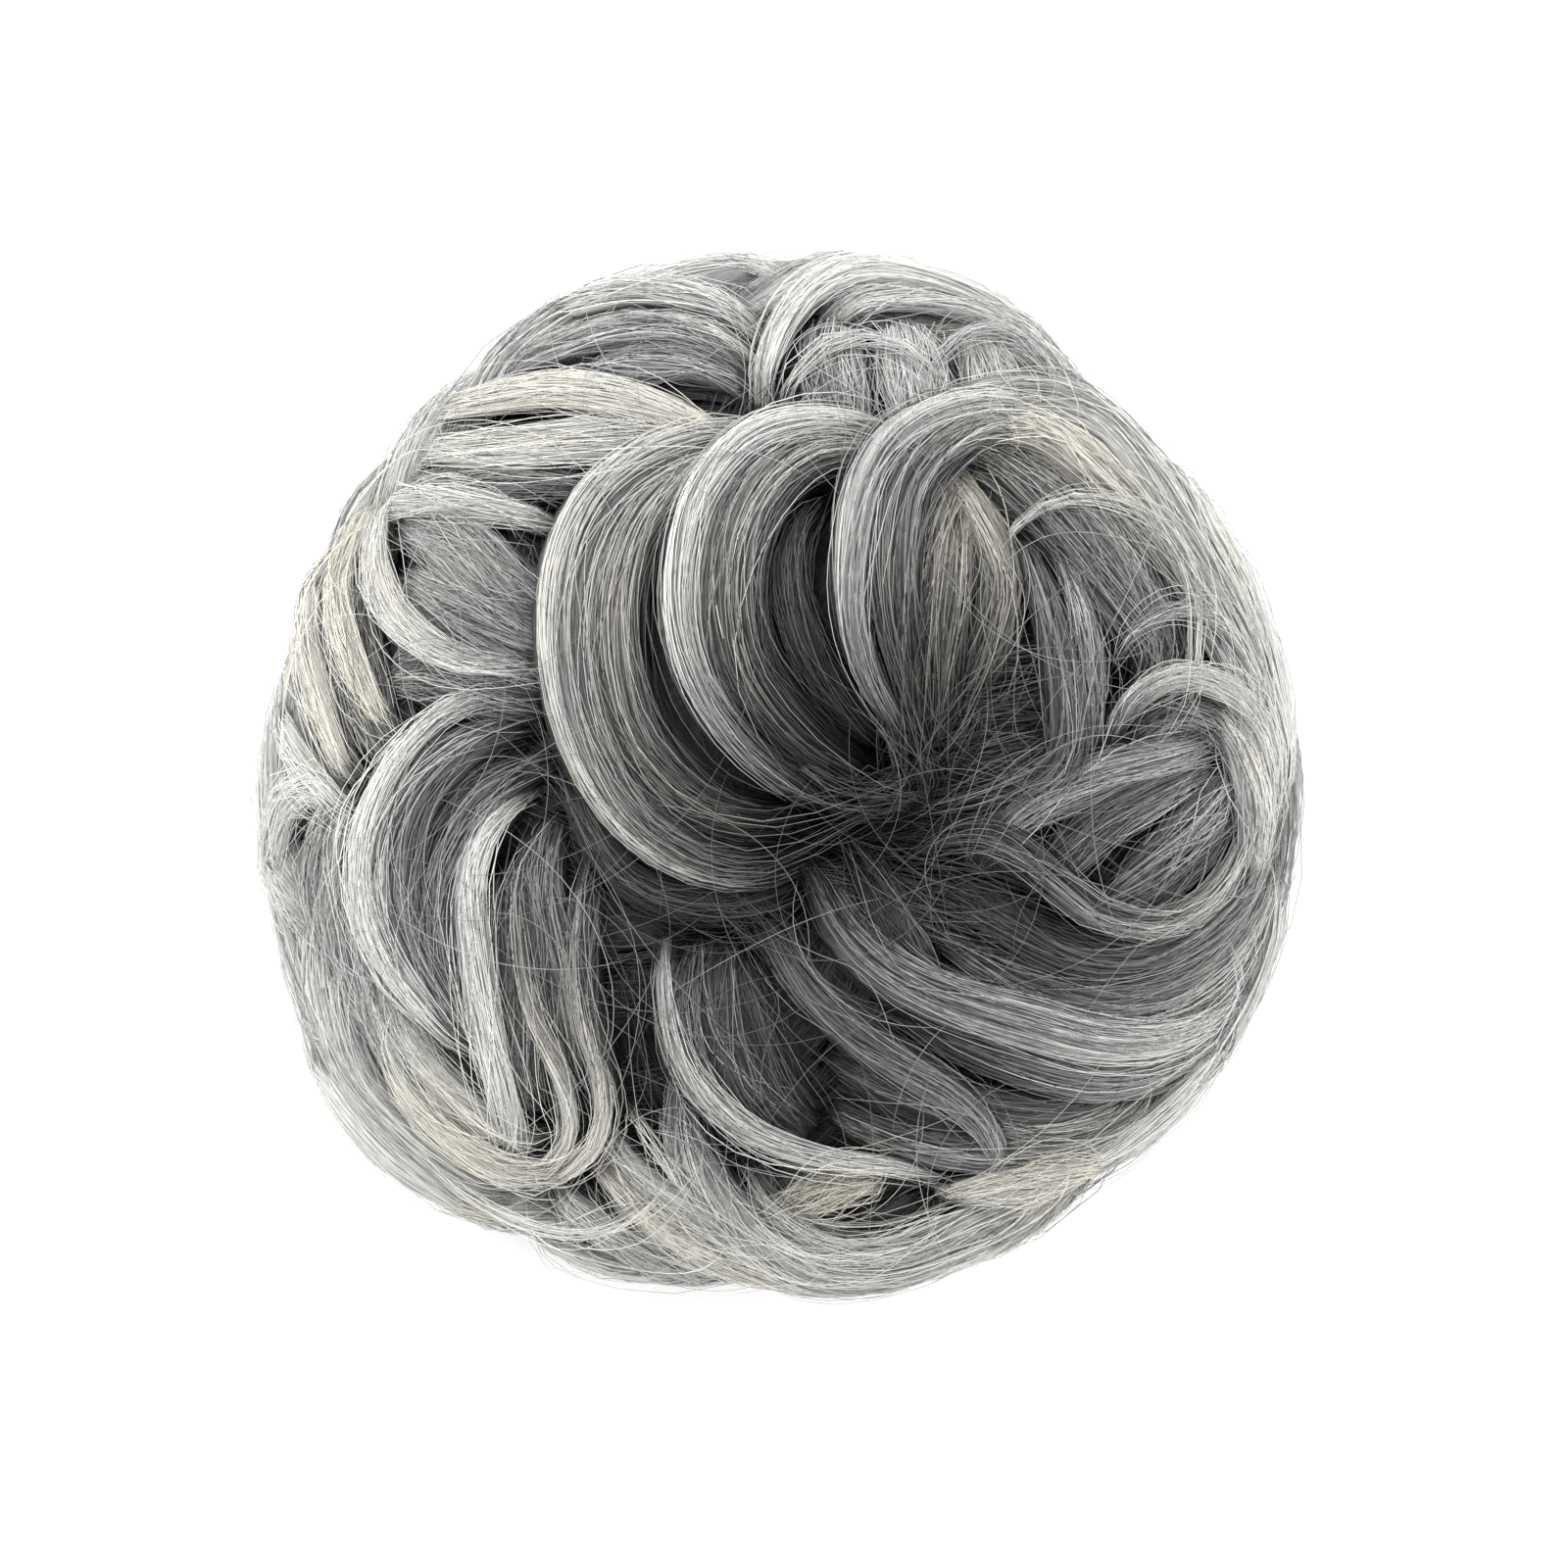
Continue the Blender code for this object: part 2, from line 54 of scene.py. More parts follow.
# %% [markdown]
# ## Camera, floor and light
#
# The photograph looks straight down on the piece, which fills two thirds of a square picture. A long
# lens keeps the rim from spreading. The light is a white studio tent: a bright sky all round, and two
# large panels that give the strands their sheen. The stronger one stands towards the upper left.

# %% Camera
BUN_WIDTH = 0.150
BUN_HEIGHT = 0.072
WIDEST_HEIGHT = 0.030
SHARE_OF_PICTURE = 0.6656
LENS = 300.0
SENSOR = 36.0
PICTURE_CENTRE = (-0.0003, -0.0008)

view_width = BUN_WIDTH / SHARE_OF_PICTURE
camera_data = bpy.data.cameras.new("camera")
camera_data.lens = LENS
camera_data.sensor_width = SENSOR
camera = bpy.data.objects.new("camera", camera_data)
camera.location = (*PICTURE_CENTRE, WIDEST_HEIGHT + view_width * LENS / SENSOR)
bpy.context.scene.collection.objects.link(camera)
bpy.context.scene.camera = camera
print("camera height", round(camera.location.z, 3), "m")

# %% Floor and light
FLOOR_SIZE = 6.0
SKY_STRENGTH = 1.15
PANEL_SIZE = 0.60


def add_piece(name, mesh):
    obj = bpy.data.objects.new(name, mesh)
    bpy.context.scene.collection.objects.link(obj)
    return obj


def from_bmesh(shape, name):
    mesh = bpy.data.meshes.new(name)
    shape.to_mesh(mesh)
    shape.free()
    return mesh


def add_panel(name, watts, place):
    """A round light panel that faces the middle of the bun."""
    light = bpy.data.lights.new(name, "AREA")
    light.shape = "DISK"
    light.energy = watts
    light.size = PANEL_SIZE
    panel = add_piece(name, light)
    panel.location = place
    facing = Vector((0, 0, WIDEST_HEIGHT)) - Vector(place)
    panel.rotation_euler = facing.to_track_quat("-Z", "Y").to_euler()


floor_shape = bmesh.new()
bmesh.ops.create_grid(floor_shape, x_segments=1, y_segments=1, size=FLOOR_SIZE / 2)
floor = add_piece("floor", from_bmesh(floor_shape, "floor"))

world = bpy.data.worlds.new("white_tent")
world.use_nodes = True
world.node_tree.nodes["Background"].inputs["Color"].default_value = (1, 1, 1, 1)
world.node_tree.nodes["Background"].inputs["Strength"].default_value = SKY_STRENGTH
bpy.context.scene.world = world
bpy.context.scene.view_settings.view_transform = "Standard"
add_panel("upper_left_panel", 8.0, (-0.35, 0.40, 0.85))
add_panel("right_panel", 3.0, (0.60, 0.05, 0.75))

# %% [markdown]
# ## Writing shader maths as Python
#
# Each finish is a small sum over patterns. Wrapping a socket in a class lets that sum read like one:
# an operator between values adds a Math node, and every other node comes from one method.


# %% Values and finishes
class Value:
    """The output socket of a node. Sums and products of values add Math nodes."""

    def __init__(self, finish, socket):
        self.finish = finish
        self.socket = socket

    def maths(self, operation, *values):
        settings = {"operation": operation}
        return self.finish.node("ShaderNodeMath", settings, dict(enumerate(values)))

    def __add__(self, other):
        return self.maths("ADD", self, other)

    def __sub__(self, other):
        return self.maths("SUBTRACT", self, other)

    def __rsub__(self, other):
        return self.maths("SUBTRACT", other, self)

    def __mul__(self, other):
        return self.maths("MULTIPLY", self, other)

    def sine(self):
        return self.maths("SINE", self)


class Finish:
    """A material that is built node by node round its Principled shader."""

    def __init__(self, name, **constants):
        self.material = bpy.data.materials.new(name)
        self.material.use_nodes = True
        self.tree = self.material.node_tree
        self.shader = self.tree.nodes["Principled BSDF"]
        for socket, value in constants.items():
            self.shader.inputs[socket.replace("_", " ")].default_value = value

    def feed(self, socket, value):
        if isinstance(value, Value):
            self.tree.links.new(value.socket, socket)
        else:
            socket.default_value = value

    def node(self, kind, settings=None, inputs=None, output=0):
        made = self.tree.nodes.new(kind)
        for name, value in (settings or {}).items():
            if name == "stops":
                self.set_stops(made.color_ramp, value)
            else:
                setattr(made, name, value)
        for socket, value in (inputs or {}).items():
            self.feed(made.inputs[socket], value)
        return Value(self, made.outputs[output])

    def set_stops(self, ramp, stops):
        for _ in range(len(stops) - 2):
            ramp.elements.new(0.5)
        for element, (position, colour) in zip(ramp.elements, stops):
            element.position = position
            element.color = (*colour, 1)

    def here(self):
        """The point that is being shaded, in the object's own coordinates."""
        return self.node("ShaderNodeTexCoord", output="Object")

    def noise(self, place, scale, detail=3.0):
        inputs = {"Vector": place, "Scale": scale, "Detail": detail}
        return self.node("ShaderNodeTexNoise", inputs=inputs, output="Fac")

    def mix(self, share, first, second):
        settings = {"data_type": "RGBA", "clamp_factor": True}
        inputs = {0: share, 6: first, 7: second}
        return self.node("ShaderNodeMix", settings, inputs, output=2)

    def ramp(self, share, stops):
        return self.node("ShaderNodeValToRGB", {"stops": stops}, {"Fac": share})

    def paint(self, **values):
        for name, value in values.items():
            self.feed(self.shader.inputs[name.replace("_", " ")], value)

    def bump(self, height, distance):
        inputs = {"Height": height, "Distance": distance, "Strength": 1.0}
        self.paint(Normal=self.node("ShaderNodeBump", inputs=inputs))


# %% [markdown]
# ## Floor finish
#
# A white sweep of paper over a dim light table, which takes the piece's soft shadow nearly away.

# %% Paper
paper = Finish("white_paper", Roughness=0.9, Emission_Strength=0.17)
paper_mottle = paper.noise(paper.here(), 40.0)
paper.paint(Base_Color=paper.mix(paper_mottle, (0.93, 0.93, 0.93, 1), (0.97, 0.97, 0.97, 1)))
floor.data.materials.append(paper.material)
print("floor finish:", paper.material.name)

# %% [markdown]
# ## The surface that the locks flow over
#
# A bun is a flattened dome with a dimple at the knot, where the locks meet. Its outline leaves a true
# circle a little, most of all at the lower left. The solid model has the same surface, from the same
# named sizes. Here it works on whole arrays of points, because thousands of strands will ask for it.

# %% Sizes of the surface
HALF_WIDTH = BUN_WIDTH / 2
ROUNDNESS = 2.25
CROWN_RELIEF = 0.0085
LOCK_HALF_THICKNESS = 0.0035
FLOW_RADIUS = HALF_WIDTH - LOCK_HALF_THICKNESS
FLOW_RISE = BUN_HEIGHT - CROWN_RELIEF - WIDEST_HEIGHT
KNOT_SHARE = (0.11, -0.10)
KNOT = np.array(KNOT_SHARE) * HALF_WIDTH
KNOT_DEPTH = 0.013
KNOT_SPREAD = 0.019


class Bulge(NamedTuple):
    """Where the outline leaves a true circle. Angles in degrees, share of the radius."""

    azimuth: float
    share: float
    spread: float


OUTLINE_BULGES = (
    Bulge(azimuth=225, share=0.065, spread=22),
    Bulge(azimuth=90, share=0.029, spread=26),
    Bulge(azimuth=48, share=-0.035, spread=14),
    Bulge(azimuth=0, share=0.027, spread=22),
    Bulge(azimuth=182, share=-0.006, spread=20),
    Bulge(azimuth=268, share=-0.008, spread=22),
)


def closeness(azimuth, middle, spread):
    """1 at the middle azimuth, and less and less away from it on both sides."""
    turn = (azimuth - middle + 180) % 360 - 180
    return np.exp(-((turn / spread) ** 2))


def outline_radius(azimuth):
    radius = np.full(np.shape(azimuth), FLOW_RADIUS)
    for bulge in OUTLINE_BULGES:
        radius = radius + FLOW_RADIUS * bulge.share * closeness(azimuth, bulge.azimuth, bulge.spread)
    return radius


def knot_dip(x, y):
    away = ((x - KNOT[0]) ** 2 + (y - KNOT[1]) ** 2) / KNOT_SPREAD**2
    return KNOT_DEPTH * np.exp(-away)


def on_bun(azimuth, polar, inset=0.0):
    """Points of the surface from their angles round the bun and down from the top, in degrees."""
    turn = np.radians(azimuth)
    down = np.radians(polar)
    radius = (outline_radius(azimuth) - inset) * np.sin(down).clip(0) ** (2 / ROUNDNESS)
    upper = polar <= 90
    rise = np.where(upper, FLOW_RISE, WIDEST_HEIGHT) - inset
    height = rise * np.abs(np.cos(down)) ** (2 / ROUNDNESS)
    x = radius * np.cos(turn)
    y = radius * np.sin(turn)
    z = WIDEST_HEIGHT + np.where(upper, height - knot_dip(x, y), -height)
    return np.stack((x, y, z), axis=-1)


def above_plan(plan):
    """Points of the surface over places in plan, given in shares of the half-width."""
    x, y = np.array(plan, float).T
    azimuth = np.degrees(np.arctan2(y, x))
    share = np.minimum(np.hypot(x, y) * HALF_WIDTH / outline_radius(azimuth), 1.0)
    return on_bun(azimuth, np.degrees(np.arcsin(share ** (ROUNDNESS / 2))))


def outward(points):
    """Unit vectors that face away from the bun at points near its surface."""

    def depth(p):
        upper = p[:, 2] > WIDEST_HEIGHT
        rise = np.where(upper, FLOW_RISE, WIDEST_HEIGHT)
        height = np.abs(p[:, 2] - WIDEST_HEIGHT + np.where(upper, knot_dip(p[:, 0], p[:, 1]), 0))
        widest = outline_radius(np.degrees(np.arctan2(p[:, 1], p[:, 0])))
        return (np.hypot(p[:, 0], p[:, 1]) / widest) ** ROUNDNESS + (height / rise) ** ROUNDNESS

    step = np.eye(3) * 0.0005
    slope = np.stack([depth(points + s) - depth(points - s) for s in step], axis=-1)
    return slope / np.linalg.norm(slope, axis=1, keepdims=True)


print("flow surface rises", round(FLOW_RISE * 1000, 1), "mm above its widest height")

# %% [markdown]
# ## Where every lock runs
#
# Each lock is one row: how wide it is and how far it stands off the surface, in shares of the bun's
# half-width, how it banks, how light its hair is with painted light and shade added, how warm it is, and
# its path in thousandths of the half-width. The paths run as the locks do when seen from above, from root
# to tip.


# %% The lock table
class Lock(NamedTuple):
    """width and lift are shares of the half-width, and path is in thousandths of it. bank is in degrees
    and raises the right-hand edge. tone runs from dark 0 to white 1; it holds the hair's own lightness
    and also painted light and shade for how the lock is lit. warmth runs from silver 0 to ivory 1.
    change is how much lighter the tip is than the root, as a painted sheen and painted shade along the
    lock."""

    width: float
    lift: float
    bank: float
    tone: float
    warmth: float
    path: tuple
    change: float = 0.0


CROWN_CURLS = (
    Lock(0.115, 0.080, 20, 0.81, 0.40, ((80, 575), (-85, 645), (-225, 622), (-340, 545), (-402, 425),
        (-417, 270), (-387, 100), (-300, -65), (-165, -160), (-20, -170), (150, -80)), -0.36),
    Lock(0.120, 0.045, 14, 0.70, 0.6, ((30, 600), (-110, 630), (-200, 585), (-285, 500), (-332, 370),
        (-332, 220), (-287, 70), (-170, -50), (-20, -85), (160, -50)), -0.50),
    Lock(0.075, 0.020, 0, 0.48, 0.1, ((-440, 70), (-380, -85), (-290, -200), (-150, -245), (-20, -225),
        (70, -160))),
    Lock(0.080, 0.115, 22, 0.88, 0.25, ((330, 590), (175, 665), (55, 680), (-65, 645), (-150, 545),
        (-185, 425), (-190, 290), (-150, 160), (-60, 45), (70, -35), (220, -55)), -0.30),
    Lock(0.130, 0.075, 14, 0.64, 0.4, ((270, 580), (175, 630), (60, 635), (-35, 570), (-90, 460),
        (-100, 330), (-70, 200), (25, 85), (145, 10), (260, -40)), -0.42),
    Lock(0.075, 0.030, 10, 0.38, 0.0, ((90, 555), (25, 480), (5, 365), (45, 235), (130, 120),
        (230, 20))),
    Lock(0.060, 0.130, 22, 0.90, 0.1, ((620, 600), (465, 710), (325, 715), (215, 665), (150, 575),
        (125, 450), (125, 330), (155, 215), (215, 105), (265, 5))),
    Lock(0.110, 0.100, 14, 0.62, 0.2, ((560, 600), (430, 675), (325, 660), (235, 580), (205, 460),
        (210, 310), (240, 180), (285, 0)), -0.20),
    Lock(0.150, 0.035, 0, 0.66, 0.8, ((360, 650), (300, 500), (280, 365), (270, 235), (270, 105),
        (260, -20)), -0.50),
    Lock(0.085, 0.035, 0, 0.72, 0.8, ((250, 620), (325, 560), (385, 460), (408, 370), (385, 260),
        (350, 160), (290, 30)), -0.5),
)

RIGHT_FALLS = (
    Lock(0.085, 0.060, -10, 0.80, 0.7, ((250, 600), (370, 665), (485, 660), (590, 580), (690, 480),
        (775, 365), (830, 260)), -0.25),
    Lock(0.120, 0.055, -10, 0.72, 0.3, ((150, 620), (280, 695), (445, 725), (580, 685), (680, 575),
        (755, 450), (830, 330), (900, 195), (935, 65))),
    Lock(0.022, 0.085, 0, 0.85, 0.3, ((380, 350), (410, 440), (475, 510), (560, 535), (655, 515),
        (730, 470), (775, 385), (785, 270), (770, 160), (730, 55))),
    Lock(0.080, 0.065, 0, 0.62, 0.1, ((430, 500), (475, 400), (515, 280), (540, 150), (535, 40),
        (470, -25), (360, -70), (250, -90))),
    Lock(0.050, 0.065, 0, 0.68, 0.0, ((500, 460), (555, 350), (585, 235), (590, 120), (575, 20))),
    Lock(0.200, 0.005, 0, 0.46, 0.3, ((260, 660), (400, 620), (530, 510), (640, 380), (720, 240),
        (680, 100))),
    Lock(0.120, 0.025, 0, 0.56, 0.3, ((340, 670), (450, 610), (550, 520), (640, 410), (700, 280),
        (710, 160))),
    Lock(0.085, 0.015, 0, 0.84, 0.15, ((645, 690), (740, 590), (815, 460), (880, 330), (925, 195),
        (955, 45), (970, -105))),
    Lock(0.100, 0.020, 0, 0.66, 0.1, ((560, 665), (675, 555), (755, 425), (825, 290), (870, 180),
        (900, 20))),
    Lock(0.055, 0.070, 0, 0.92, 0.1, ((600, 10), (635, 115), (700, 175), (775, 195), (850, 165),
        (910, 85), (930, -30), (915, -160))),
    Lock(0.026, 0.060, 0, 0.80, 0.0, ((615, 180), (655, 275), (740, 325), (825, 300), (890, 205),
        (925, 105))),
    Lock(0.090, 0.010, 0, 0.50, 0.0, ((640, 20), (720, 100), (810, 100), (880, 20))),
    Lock(0.100, 0.035, 0, 0.70, 0.2, ((790, 160), (860, 85), (890, -20), (895, -130), (860, -250))),
    Lock(0.100, 0.005, 0, 0.54, 0.2, ((580, -270), (700, -205), (800, -120), (865, -10))),
)

RIGHT_SWIRL = (
    Lock(0.085, 0.060, 0, 0.76, 0.1, ((330, -200), (400, -120), (485, -45), (600, 10), (730, 45),
        (865, 80))),
    Lock(0.085, 0.035, 0, 0.62, 0.0, ((460, -240), (515, -170), (600, -85), (720, -20), (860, 40))),
    Lock(0.075, 0.015, 0, 0.56, 0.0, ((580, -260), (710, -140), (805, -45), (870, 20))),
    Lock(0.066, 0.075, 10, 0.66, 0.2, ((150, -200), (240, -145), (310, -110), (385, -105), (455, -140),
        (525, -200), (605, -265), (730, -280), (825, -215), (875, -115), (890, -10)), 0.20),
    Lock(0.085, 0.050, 8, 0.54, 0.1, ((185, -160), (295, -205), (430, -280), (560, -340), (690, -340),
        (805, -280), (890, -180), (915, -45))),
    Lock(0.075, 0.045, 8, 0.64, 0.2, ((220, -255), (335, -330), (465, -395), (600, -425), (730, -405),
        (840, -330), (915, -205), (945, -65))),
    Lock(0.085, 0.025, 8, 0.58, 0.2, ((295, -385), (445, -460), (600, -480), (750, -450), (860, -365),
        (935, -255))),
    Lock(0.100, 0.080, 10, 0.90, 0.0, ((20, -120), (60, -200), (110, -295), (195, -375), (315, -430),
        (465, -470), (600, -500), (730, -495), (840, -440), (920, -330)), 0.22),
    Lock(0.075, 0.065, 0, 0.64, 0.0, ((100, -80), (155, -170), (205, -260), (250, -330), (300, -385))),
    Lock(0.095, 0.045, 6, 0.58, 0.1, ((145, -365), (280, -470), (445, -535), (600, -565), (730, -535),
        (835, -450), (910, -340))),
    Lock(0.072, 0.075, 0, 0.68, 0.0, ((-80, -220), (-35, -300), (25, -390), (90, -455), (160, -510),
        (235, -555), (315, -605), (375, -660), (405, -730), (390, -800))),
    Lock(0.110, 0.010, 0, 0.50, 0.3, ((55, -525), (185, -590), (335, -640), (485, -660), (615, -630),
        (710, -565))),
    Lock(0.095, 0.010, 0, 0.62, 0.4, ((55, -630), (205, -685), (370, -715), (540, -695), (655, -640),
        (730, -575))),
    Lock(0.105, 0.015, 0, 0.88, 0.1, ((445, -770), (580, -735), (690, -660), (795, -555), (880, -430),
        (935, -290), (965, -140))),
)

BOTTOM_LOCKS = (
    Lock(0.190, 0.055, 0, 0.60, 0.1, ((-125, -290), (-135, -405), (-115, -515), (-50, -620),
        (55, -695))),
    Lock(0.050, 0.090, 0, 0.86, 0.2, ((-220, -290), (-235, -360), (-225, -460), (-190, -560),
        (-120, -640), (-30, -695), (100, -730), (220, -745), (340, -790))),
    Lock(0.110, 0.035, 0, 0.86, 0.2, ((-190, -540), (-200, -640), (-175, -740), (-120, -830), (-40, -905),
        (60, -950), (200, -950), (320, -910), (440, -855), (560, -790))),
    Lock(0.090, 0.010, 0, 0.92, 0.9, ((-70, -860), (20, -810), (110, -775), (210, -760))),
    Lock(0.032, 0.045, 0, 0.86, 0.1, ((-100, -720), (-30, -800), (70, -860), (180, -870), (300, -830),
        (420, -790))),
    Lock(0.030, 0.055, 0, 0.84, 0.1, ((-130, -780), (-50, -860), (60, -905), (190, -900), (310, -865))),
    Lock(0.085, 0.045, 0, 0.92, 0.7, ((-390, -700), (-265, -825), (-145, -900), (-5, -950),
        (110, -975))),
    Lock(0.022, 0.060, 0, 0.90, 0.3, ((-305, -620), (-255, -695), (-200, -770), (-115, -855))),
    Lock(0.060, 0.050, 0, 0.80, 0.3, ((-360, -640), (-300, -740), (-200, -820), (-110, -880),
        (0, -930))),
    Lock(0.085, 0.025, 0, 0.72, 0.2, ((-455, -770), (-360, -855), (-230, -920), (-80, -965))),
    Lock(0.075, 0.015, 0, 0.80, 0.3, ((-530, -865), (-415, -930), (-285, -965), (-115, -980))),
    Lock(0.095, 0.015, 0, 0.70, 0.4, ((-60, -740), (-20, -835), (90, -895), (240, -895), (370, -835),
        (485, -790), (600, -780))),
    Lock(0.095, 0.015, 0, 0.92, 0.2, ((-40, -930), (110, -970), (260, -955), (390, -900), (515, -845),
        (600, -800))),
    Lock(0.070, 0.050, 0, 0.88, 0.8, ((280, -800), (400, -780), (510, -765), (620, -735))),
    Lock(0.020, 0.105, 0, 0.92, 0.3, ((-720, -680), (-643, -769), (-530, -837), (-420, -868),
        (-330, -855), (-250, -800), (-177, -710))),
    Lock(0.120, -0.050, 0, 0.10, 0.3, ((-300, -330), (-280, -460), (-240, -600), (-150, -760))),
)

LEFT_LOCKS = (
    Lock(0.062, 0.085, 0, 1.06, 0.2, ((-460, 0), (-560, -80), (-605, -200), (-595, -350), (-568, -500),
        (-538, -610), (-520, -690), (-530, -760)), 0.22),
    Lock(0.034, 0.075, 0, 0.84, 0.4, ((-440, -60), (-510, -180), (-505, -330), (-485, -445), (-447, -536),
        (-417, -618), (-417, -686), (-462, -746), (-540, -757)), 0.45),
    Lock(0.034, 0.070, 0, 0.84, 0.5, ((-370, -120), (-402, -242), (-410, -385), (-387, -498),
        (-357, -573), (-350, -649), (-375, -716), (-440, -761), (-520, -770)), 0.45),
    Lock(0.060, 0.040, 0, 0.52, 0.0, ((-350, -140), (-385, -280), (-390, -400), (-365, -530),
        (-350, -620), (-370, -690))),
    Lock(0.100, 0.045, 0, 0.60, 0.0, ((-440, -60), (-475, -200), (-455, -360), (-420, -500),
        (-400, -620))),
    Lock(0.110, 0.035, 0, 0.56, 0.2, ((-530, -150), (-530, -330), (-510, -520), (-490, -660))),
    Lock(0.052, 0.075, 20, 1.00, 0.3, ((-430, 150), (-605, 145), (-725, 55), (-800, -85), (-810, -225),
        (-765, -355), (-680, -460), (-575, -565)), 0.25),
    Lock(0.115, 0.050, 12, 0.65, 0.1, ((-460, 120), (-605, 65), (-710, -40), (-745, -180), (-720, -310),
        (-645, -440), (-570, -550))),
    Lock(0.100, 0.030, 0, 0.58, 0.0, ((-430, 45), (-570, -30), (-635, -140), (-660, -270), (-645, -405),
        (-605, -515))),
    Lock(0.068, 0.045, 0, 0.88, 0.7, ((-790, -440), (-755, -550), (-695, -640), (-610, -710),
        (-530, -750), (-440, -750), (-370, -700))),
    Lock(0.100, 0.020, 0, 0.74, 0.1, ((-860, -160), (-895, -290), (-885, -425), (-830, -575),
        (-735, -685), (-605, -780), (-455, -835))),
    Lock(0.090, 0.045, 0, 0.88, 0.1, ((-945, -270), (-925, -425), (-870, -575), (-780, -700),
        (-660, -790), (-510, -860))),
    Lock(0.080, 0.040, 0, 0.80, 0.1, ((-840, -100), (-900, -20), (-955, -50), (-980, -160), (-990, -270),
        (-945, -385))),
    Lock(0.120, -0.005, 0, 0.56, 0.1, ((-820, -120), (-830, -270), (-800, -420), (-700, -560))),
    Lock(0.130, 0.015, 0, 0.70, 0.3, ((-800, -280), (-765, -440), (-700, -560), (-610, -650),
        (-520, -700))),
    Lock(0.060, 0.035, 0, 0.82, 0.4, ((-770, -360), (-720, -490), (-640, -600), (-540, -680),
        (-440, -700))),
    Lock(0.085, 0.015, 0, 0.66, 0.2, ((-865, -340), (-845, -460), (-800, -570), (-710, -670))),
    Lock(0.100, 0.020, 0, 0.66, 0.2, ((-840, -20), (-880, -120), (-885, -250), (-850, -400))),
    Lock(0.110, 0.010, 0, 0.60, 0.2, ((-780, 200), (-680, 200), (-570, 165), (-450, 140))),
)

UPPER_LEFT_LOCKS = (
    Lock(0.064, 0.065, 0, 1.04, 0.2, ((-745, 575), (-785, 460), (-770, 350), (-710, 275), (-605, 220),
        (-420, 205))),
    Lock(0.140, 0.010, 0, 0.70, 0.1, ((-760, 520), (-640, 450), (-540, 360), (-440, 300))),
    Lock(0.130, 0.005, 0, 0.66, 0.1, ((-760, 400), (-660, 330), (-550, 270), (-440, 230))),
    Lock(0.075, 0.060, 0, 0.94, 0.6, ((-80, 625), (-180, 675), (-305, 720), (-445, 740), (-585, 720),
        (-710, 680))),
    Lock(0.090, 0.045, 0, 0.94, 0.3, ((-80, 640), (-210, 650), (-380, 645), (-570, 630), (-735, 625))),
    Lock(0.070, 0.000, 0, 0.56, 0.2, ((-320, 550), (-470, 570), (-610, 570), (-760, 570))),
    Lock(0.060, 0.035, 0, 0.84, 0.2, ((-400, 470), (-570, 520), (-700, 530), (-775, 510))),
    Lock(0.056, 0.055, 0, 1.06, 0.8, ((-780, 550), (-820, 470), (-855, 365), (-840, 255), (-795, 150),
        (-755, 75))),
    Lock(0.056, 0.035, 0, 1.06, 0.5, ((-840, 560), (-900, 405), (-915, 290), (-895, 170), (-860, 55),
        (-820, -30))),
    Lock(0.056, 0.015, 0, 1.06, 0.2, ((-900, 460), (-965, 290), (-975, 180), (-945, 65), (-880, -30),
        (-825, -105))),
    Lock(0.060, 0.015, 0, 0.84, 0.1, ((-720, 690), (-830, 575), (-885, 470), (-945, 385))),
    Lock(0.120, -0.010, 0, 0.52, 0.2, ((-800, 450), (-830, 300), (-800, 140), (-740, 0))),
)

TOP_LOCKS = (
    Lock(0.085, 0.010, 0, 0.82, 0.1, ((60, 960), (-80, 980), (-230, 965), (-380, 925), (-510, 865),
        (-625, 770))),
    Lock(0.075, 0.025, 0, 0.74, 0.1, ((-20, 835), (-135, 910), (-285, 930), (-435, 890), (-570, 820),
        (-630, 750))),
    Lock(0.085, 0.015, 0, 0.62, 0.1, ((-30, 770), (-155, 845), (-305, 855), (-455, 815), (-585, 750))),
    Lock(0.085, 0.005, 0, 0.52, 0.0, ((-50, 740), (-175, 790), (-305, 785), (-415, 760))),
    Lock(0.060, 0.050, 0, 0.88, 0.1, ((-45, 665), (-40, 790), (25, 910), (130, 970), (260, 960),
        (390, 910), (515, 825), (625, 715))),
    Lock(0.028, 0.050, 0, 0.80, 0.1, ((-20, 675), (10, 760), (90, 835), (195, 835), (270, 780),
        (305, 725))),
    Lock(0.028, 0.050, 0, 0.80, 0.1, ((270, 725), (290, 800), (355, 850), (430, 845), (495, 780),
        (525, 725))),
    Lock(0.130, 0.000, 0, 0.68, 0.1, ((100, 900), (85, 800), (100, 700), (130, 620))),
    Lock(0.130, 0.000, 0, 0.72, 0.1, ((220, 900), (235, 800), (260, 700), (300, 620))),
    Lock(0.130, 0.000, 0, 0.72, 0.2, ((360, 870), (390, 780), (420, 700), (450, 630))),
    Lock(0.115, 0.015, 0, 0.66, 0.1, ((55, 875), (145, 920), (280, 920), (410, 875), (520, 790),
        (600, 705))),
)

